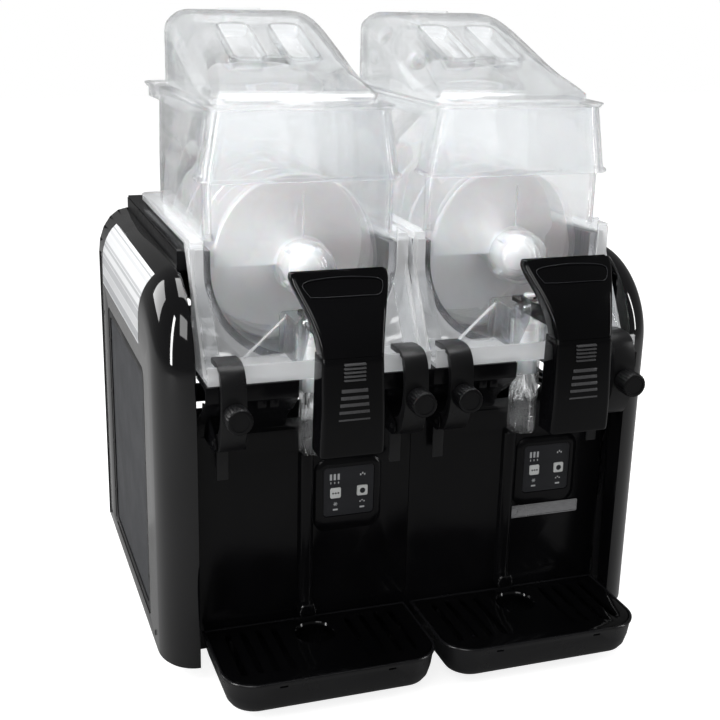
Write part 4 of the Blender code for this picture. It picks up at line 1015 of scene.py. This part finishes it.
def tray(bay):
    """The drip tray and the slotted grid that lies in it."""
    levels = ((0.009, 0.027), (0.0092, 0.024), (0.01, 0.0195), (0.0118, 0.015), (0.015, 0.01),
              (0.02, 0.0064), (0.03, 0.0036), (0.044, 0.0016), (0.0462, 0.0002), (0.048, 0.0), (0.049, 0.0008))
    rings = [[(x, y, z) for x, y in tray_outline(inset, 0.0)] for z, inset in levels]
    inside = [[(x, y, z + 0.0025) for x, y in tray_outline(inset + 0.0025, 0.0025)] for z, inset in levels[:-3]]
    inside = inside[:-1] + [[(x, y, z) for x, y in tray_outline(0.003, 0.0025)] for z in (0.0445, 0.06)]
    posts = bmesh.new()
    for x, y in ((0.085, -0.14), (0.065, -0.203), (-0.065, -0.203), (-0.085, -0.14)):
        add_turned(posts, "z", (x, y), [(0.01, 0.0035), (0.0442, 0.003)], 20)
    notches = bmesh.new()
    for x in (-0.056, 0.056):
        add_box(notches, (x - 0.004, x + 0.004), (-0.24, -0.225), (0.0418, 0.044))
    piece("basin_" + bay, "tray_" + bay, "tray", loft(rings),
          [("-", loft(inside)), ("-", notches), ("+", posts)],
          bay=bay, bevel=0.0003, segments=2, smooth=40, replaces=["drip_tray_" + bay])
    openings, dimples = bmesh.new(), bmesh.new()
    for x in [sign * (0.04 + 0.0165 * i) for sign in (-1, 1) for i in range(4)]:
        add_prism(openings, rounded((x - 0.0036, x + 0.0036), (-0.213, -0.131), 0.0035, 6), "z", 0.04, 0.06)
        add_turned(dimples, "z", (x + 0.0082, -0.129), [(0.047, 0.004), (0.0486, 0.003), (0.0489, 0.0015)], 20)
    add_turned(openings, "z", (0, -0.153), [(0.04, 0.0205), (0.0462, 0.0205), (0.049, 0.0222)], 48)
    add_box(openings, (-0.0115, 0.0115), (-0.1295, -0.1), (0.04, 0.06))
    plate = prism(tray_outline(0.0042, 0.0032), "z", 0.0445, 0.0485)
    piece("grate_" + bay, "grid_" + bay, "grid", plate, [("-", openings), ("+", dimples)],
          bay=bay, bevel=0.0007, segments=3, smooth=40, replaces=["drip_grid_" + bay])


# ---------------------------------------------------------------- inner parts


def inner_parts():
    """The parts inside the casing, which stay as the frame has them, and the four feet."""
    looks = {"base_pan": "sheet", "compressor": "paint", "condenser": "fins", "fan_motor": "motor",
             "fan_blade": "satin"}
    for node, look in looks.items():
        dress(node, look, 0.0006)
    profile = [(0.0, 0.0155), (0.0006, 0.0164), (0.004, 0.0178), (0.006, 0.018), (0.0208, 0.0145),
               (0.0217, 0.0138)]
    for end in ("front", "rear"):
        for side in ("left", "right"):
            node = f"foot_{end}_{side}"
            low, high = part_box(node)
            centre = ((low.x + high.x) / 2, (low.y + high.y) / 2)
            foot = turned("z", centre, profile)
            piece("rubber_" + node, "machine", "rubber", foot, replaces=[node])
    for bay in BAYS:
        dress("gear_motor_" + bay, "motor", 0.0008)
        dress("bowl_gasket_" + bay, "gasket")


# ---------------------------------------------------------------- surroundings


def seen_directly(tree):
    """1 for what the camera sees straight or through clear plastic, 0 for light that has bounced."""
    path = add_node(tree, "ShaderNodeLightPath").outputs

    def maths(operation, first, second):
        return add_node(tree, "ShaderNodeMath", {0: first, 1: second}, operation=operation).outputs[0]

    not_diffuse = maths("LESS_THAN", path["Diffuse Depth"], 0.5)
    not_glossy = maths("LESS_THAN", path["Glossy Depth"], 0.5)
    through = maths("GREATER_THAN", path["Transmission Depth"], 0.5)
    return maths("MULTIPLY", not_diffuse, maths("MAXIMUM", not_glossy, through))


def stage():
    """A plain white floor, a white surround, and soft lamps."""
    look = Look("floor", (0.5, 0.5, 0.5), 0.6, Specular_IOR_Level=0.1, Emission_Strength=0.84,
                Emission_Color=(1, 1, 1, 1))
    look.roughness(look.span(look.noise(3, 2), 0.55, 0.65))
    bounce = look.node("ShaderNodeBsdfDiffuse", {"Color": (0.26, 0.26, 0.26, 1)})
    look.mixed(seen_directly(look.tree), bounce.outputs[0], look.shader.outputs[0])
    floor = new_object("floor", add_box(bmesh.new(), (-6, 6), (-6, 6), (-0.02, 0.0)))
    floor.data.materials.append(look.made)
    world = bpy.data.worlds.new("studio")
    bpy.context.scene.world = world
    world.use_nodes = True
    tree = world.node_tree
    diffuse = add_node(tree, "ShaderNodeLightPath").outputs["Is Diffuse Ray"]
    bounced = add_node(tree, "ShaderNodeMapRange", {"To Min": 0.11, "To Max": 0.42, "Value": diffuse}).outputs[0]
    levels = {"To Min": bounced, "To Max": 1.0, "Value": seen_directly(tree)}
    background = tree.nodes["Background"]
    tree.links.new(add_node(tree, "ShaderNodeMapRange", levels).outputs[0], background.inputs["Strength"])
    background.inputs["Color"].default_value = (1, 1, 1, 1)
    lamps = (("left_strip", (-1.5, -0.42, 0.85), (0.16, 1.3), 12), ("key", (-1.1, -1.5, 2.1), (1.1, 1.1), 14),
             ("top", (0.1, 0.35, 2.3), (1.6, 1.2), 26), ("right_strip", (1.6, -0.9, 0.9), (0.14, 1.2), 8),
             ("rear_left", (-1.7, 1.3, 1.2), (1.0, 1.0), 12))
    for name, place, size, power in lamps:
        lamp = bpy.data.lights.new(name, "AREA")
        lamp.energy = power
        lamp.shape = "RECTANGLE"
        lamp.size, lamp.size_y = size
        holder = bpy.data.objects.new(name, lamp)
        holder.location = place
        holder.rotation_euler = (Vector((0, 0, 0.3)) - Vector(place)).to_track_quat("-Z", "Y").to_euler()
        bpy.context.scene.collection.objects.link(holder)


def camera():
    """The viewing angle: from the front, to the left and above."""
    azimuth, elevation, roll = math.radians(-19.39), math.radians(17.48), math.radians(1.42)
    level = math.cos(elevation)
    back = Vector((math.sin(azimuth) * level, -math.cos(azimuth) * level, math.sin(elevation)))
    right = Vector((0, 0, 1)).cross(back).normalized()
    up = back.cross(right)
    right, up = (right * math.cos(roll) + up * math.sin(roll), up * math.cos(roll) - right * math.sin(roll))
    lens = bpy.data.cameras.new("camera")
    lens.lens = 60.8
    lens.sensor_width = 36.0
    holder = bpy.data.objects.new("camera", lens)
    holder.matrix_world = Matrix((right, up, back)).transposed().to_4x4()
    holder.location = (-0.45, -1.2238, 0.6993)
    bpy.context.scene.collection.objects.link(holder)
    bpy.context.scene.camera = holder


camera()
stage()
side_panel(-1, "left")
side_panel(1, "right")
filter_panel()
shoulder_label()
screws()
rear_details()
deck()
badge()
inner_parts()
for bay_name in BAYS:
    front_panel(bay_name)
    controls(bay_name)
    trough(bay_name)
    bowl(bay_name)
    bowl_base(bay_name)
    tap(bay_name)
    lid(bay_name)
    auger(bay_name)
    lever(bay_name)
    lever_outline(bay_name)
    lever_cover(bay_name)
    tap_parts(bay_name)
    clamps(bay_name)
    tray(bay_name)

bpy.context.scene.view_settings.view_transform = "Standard"
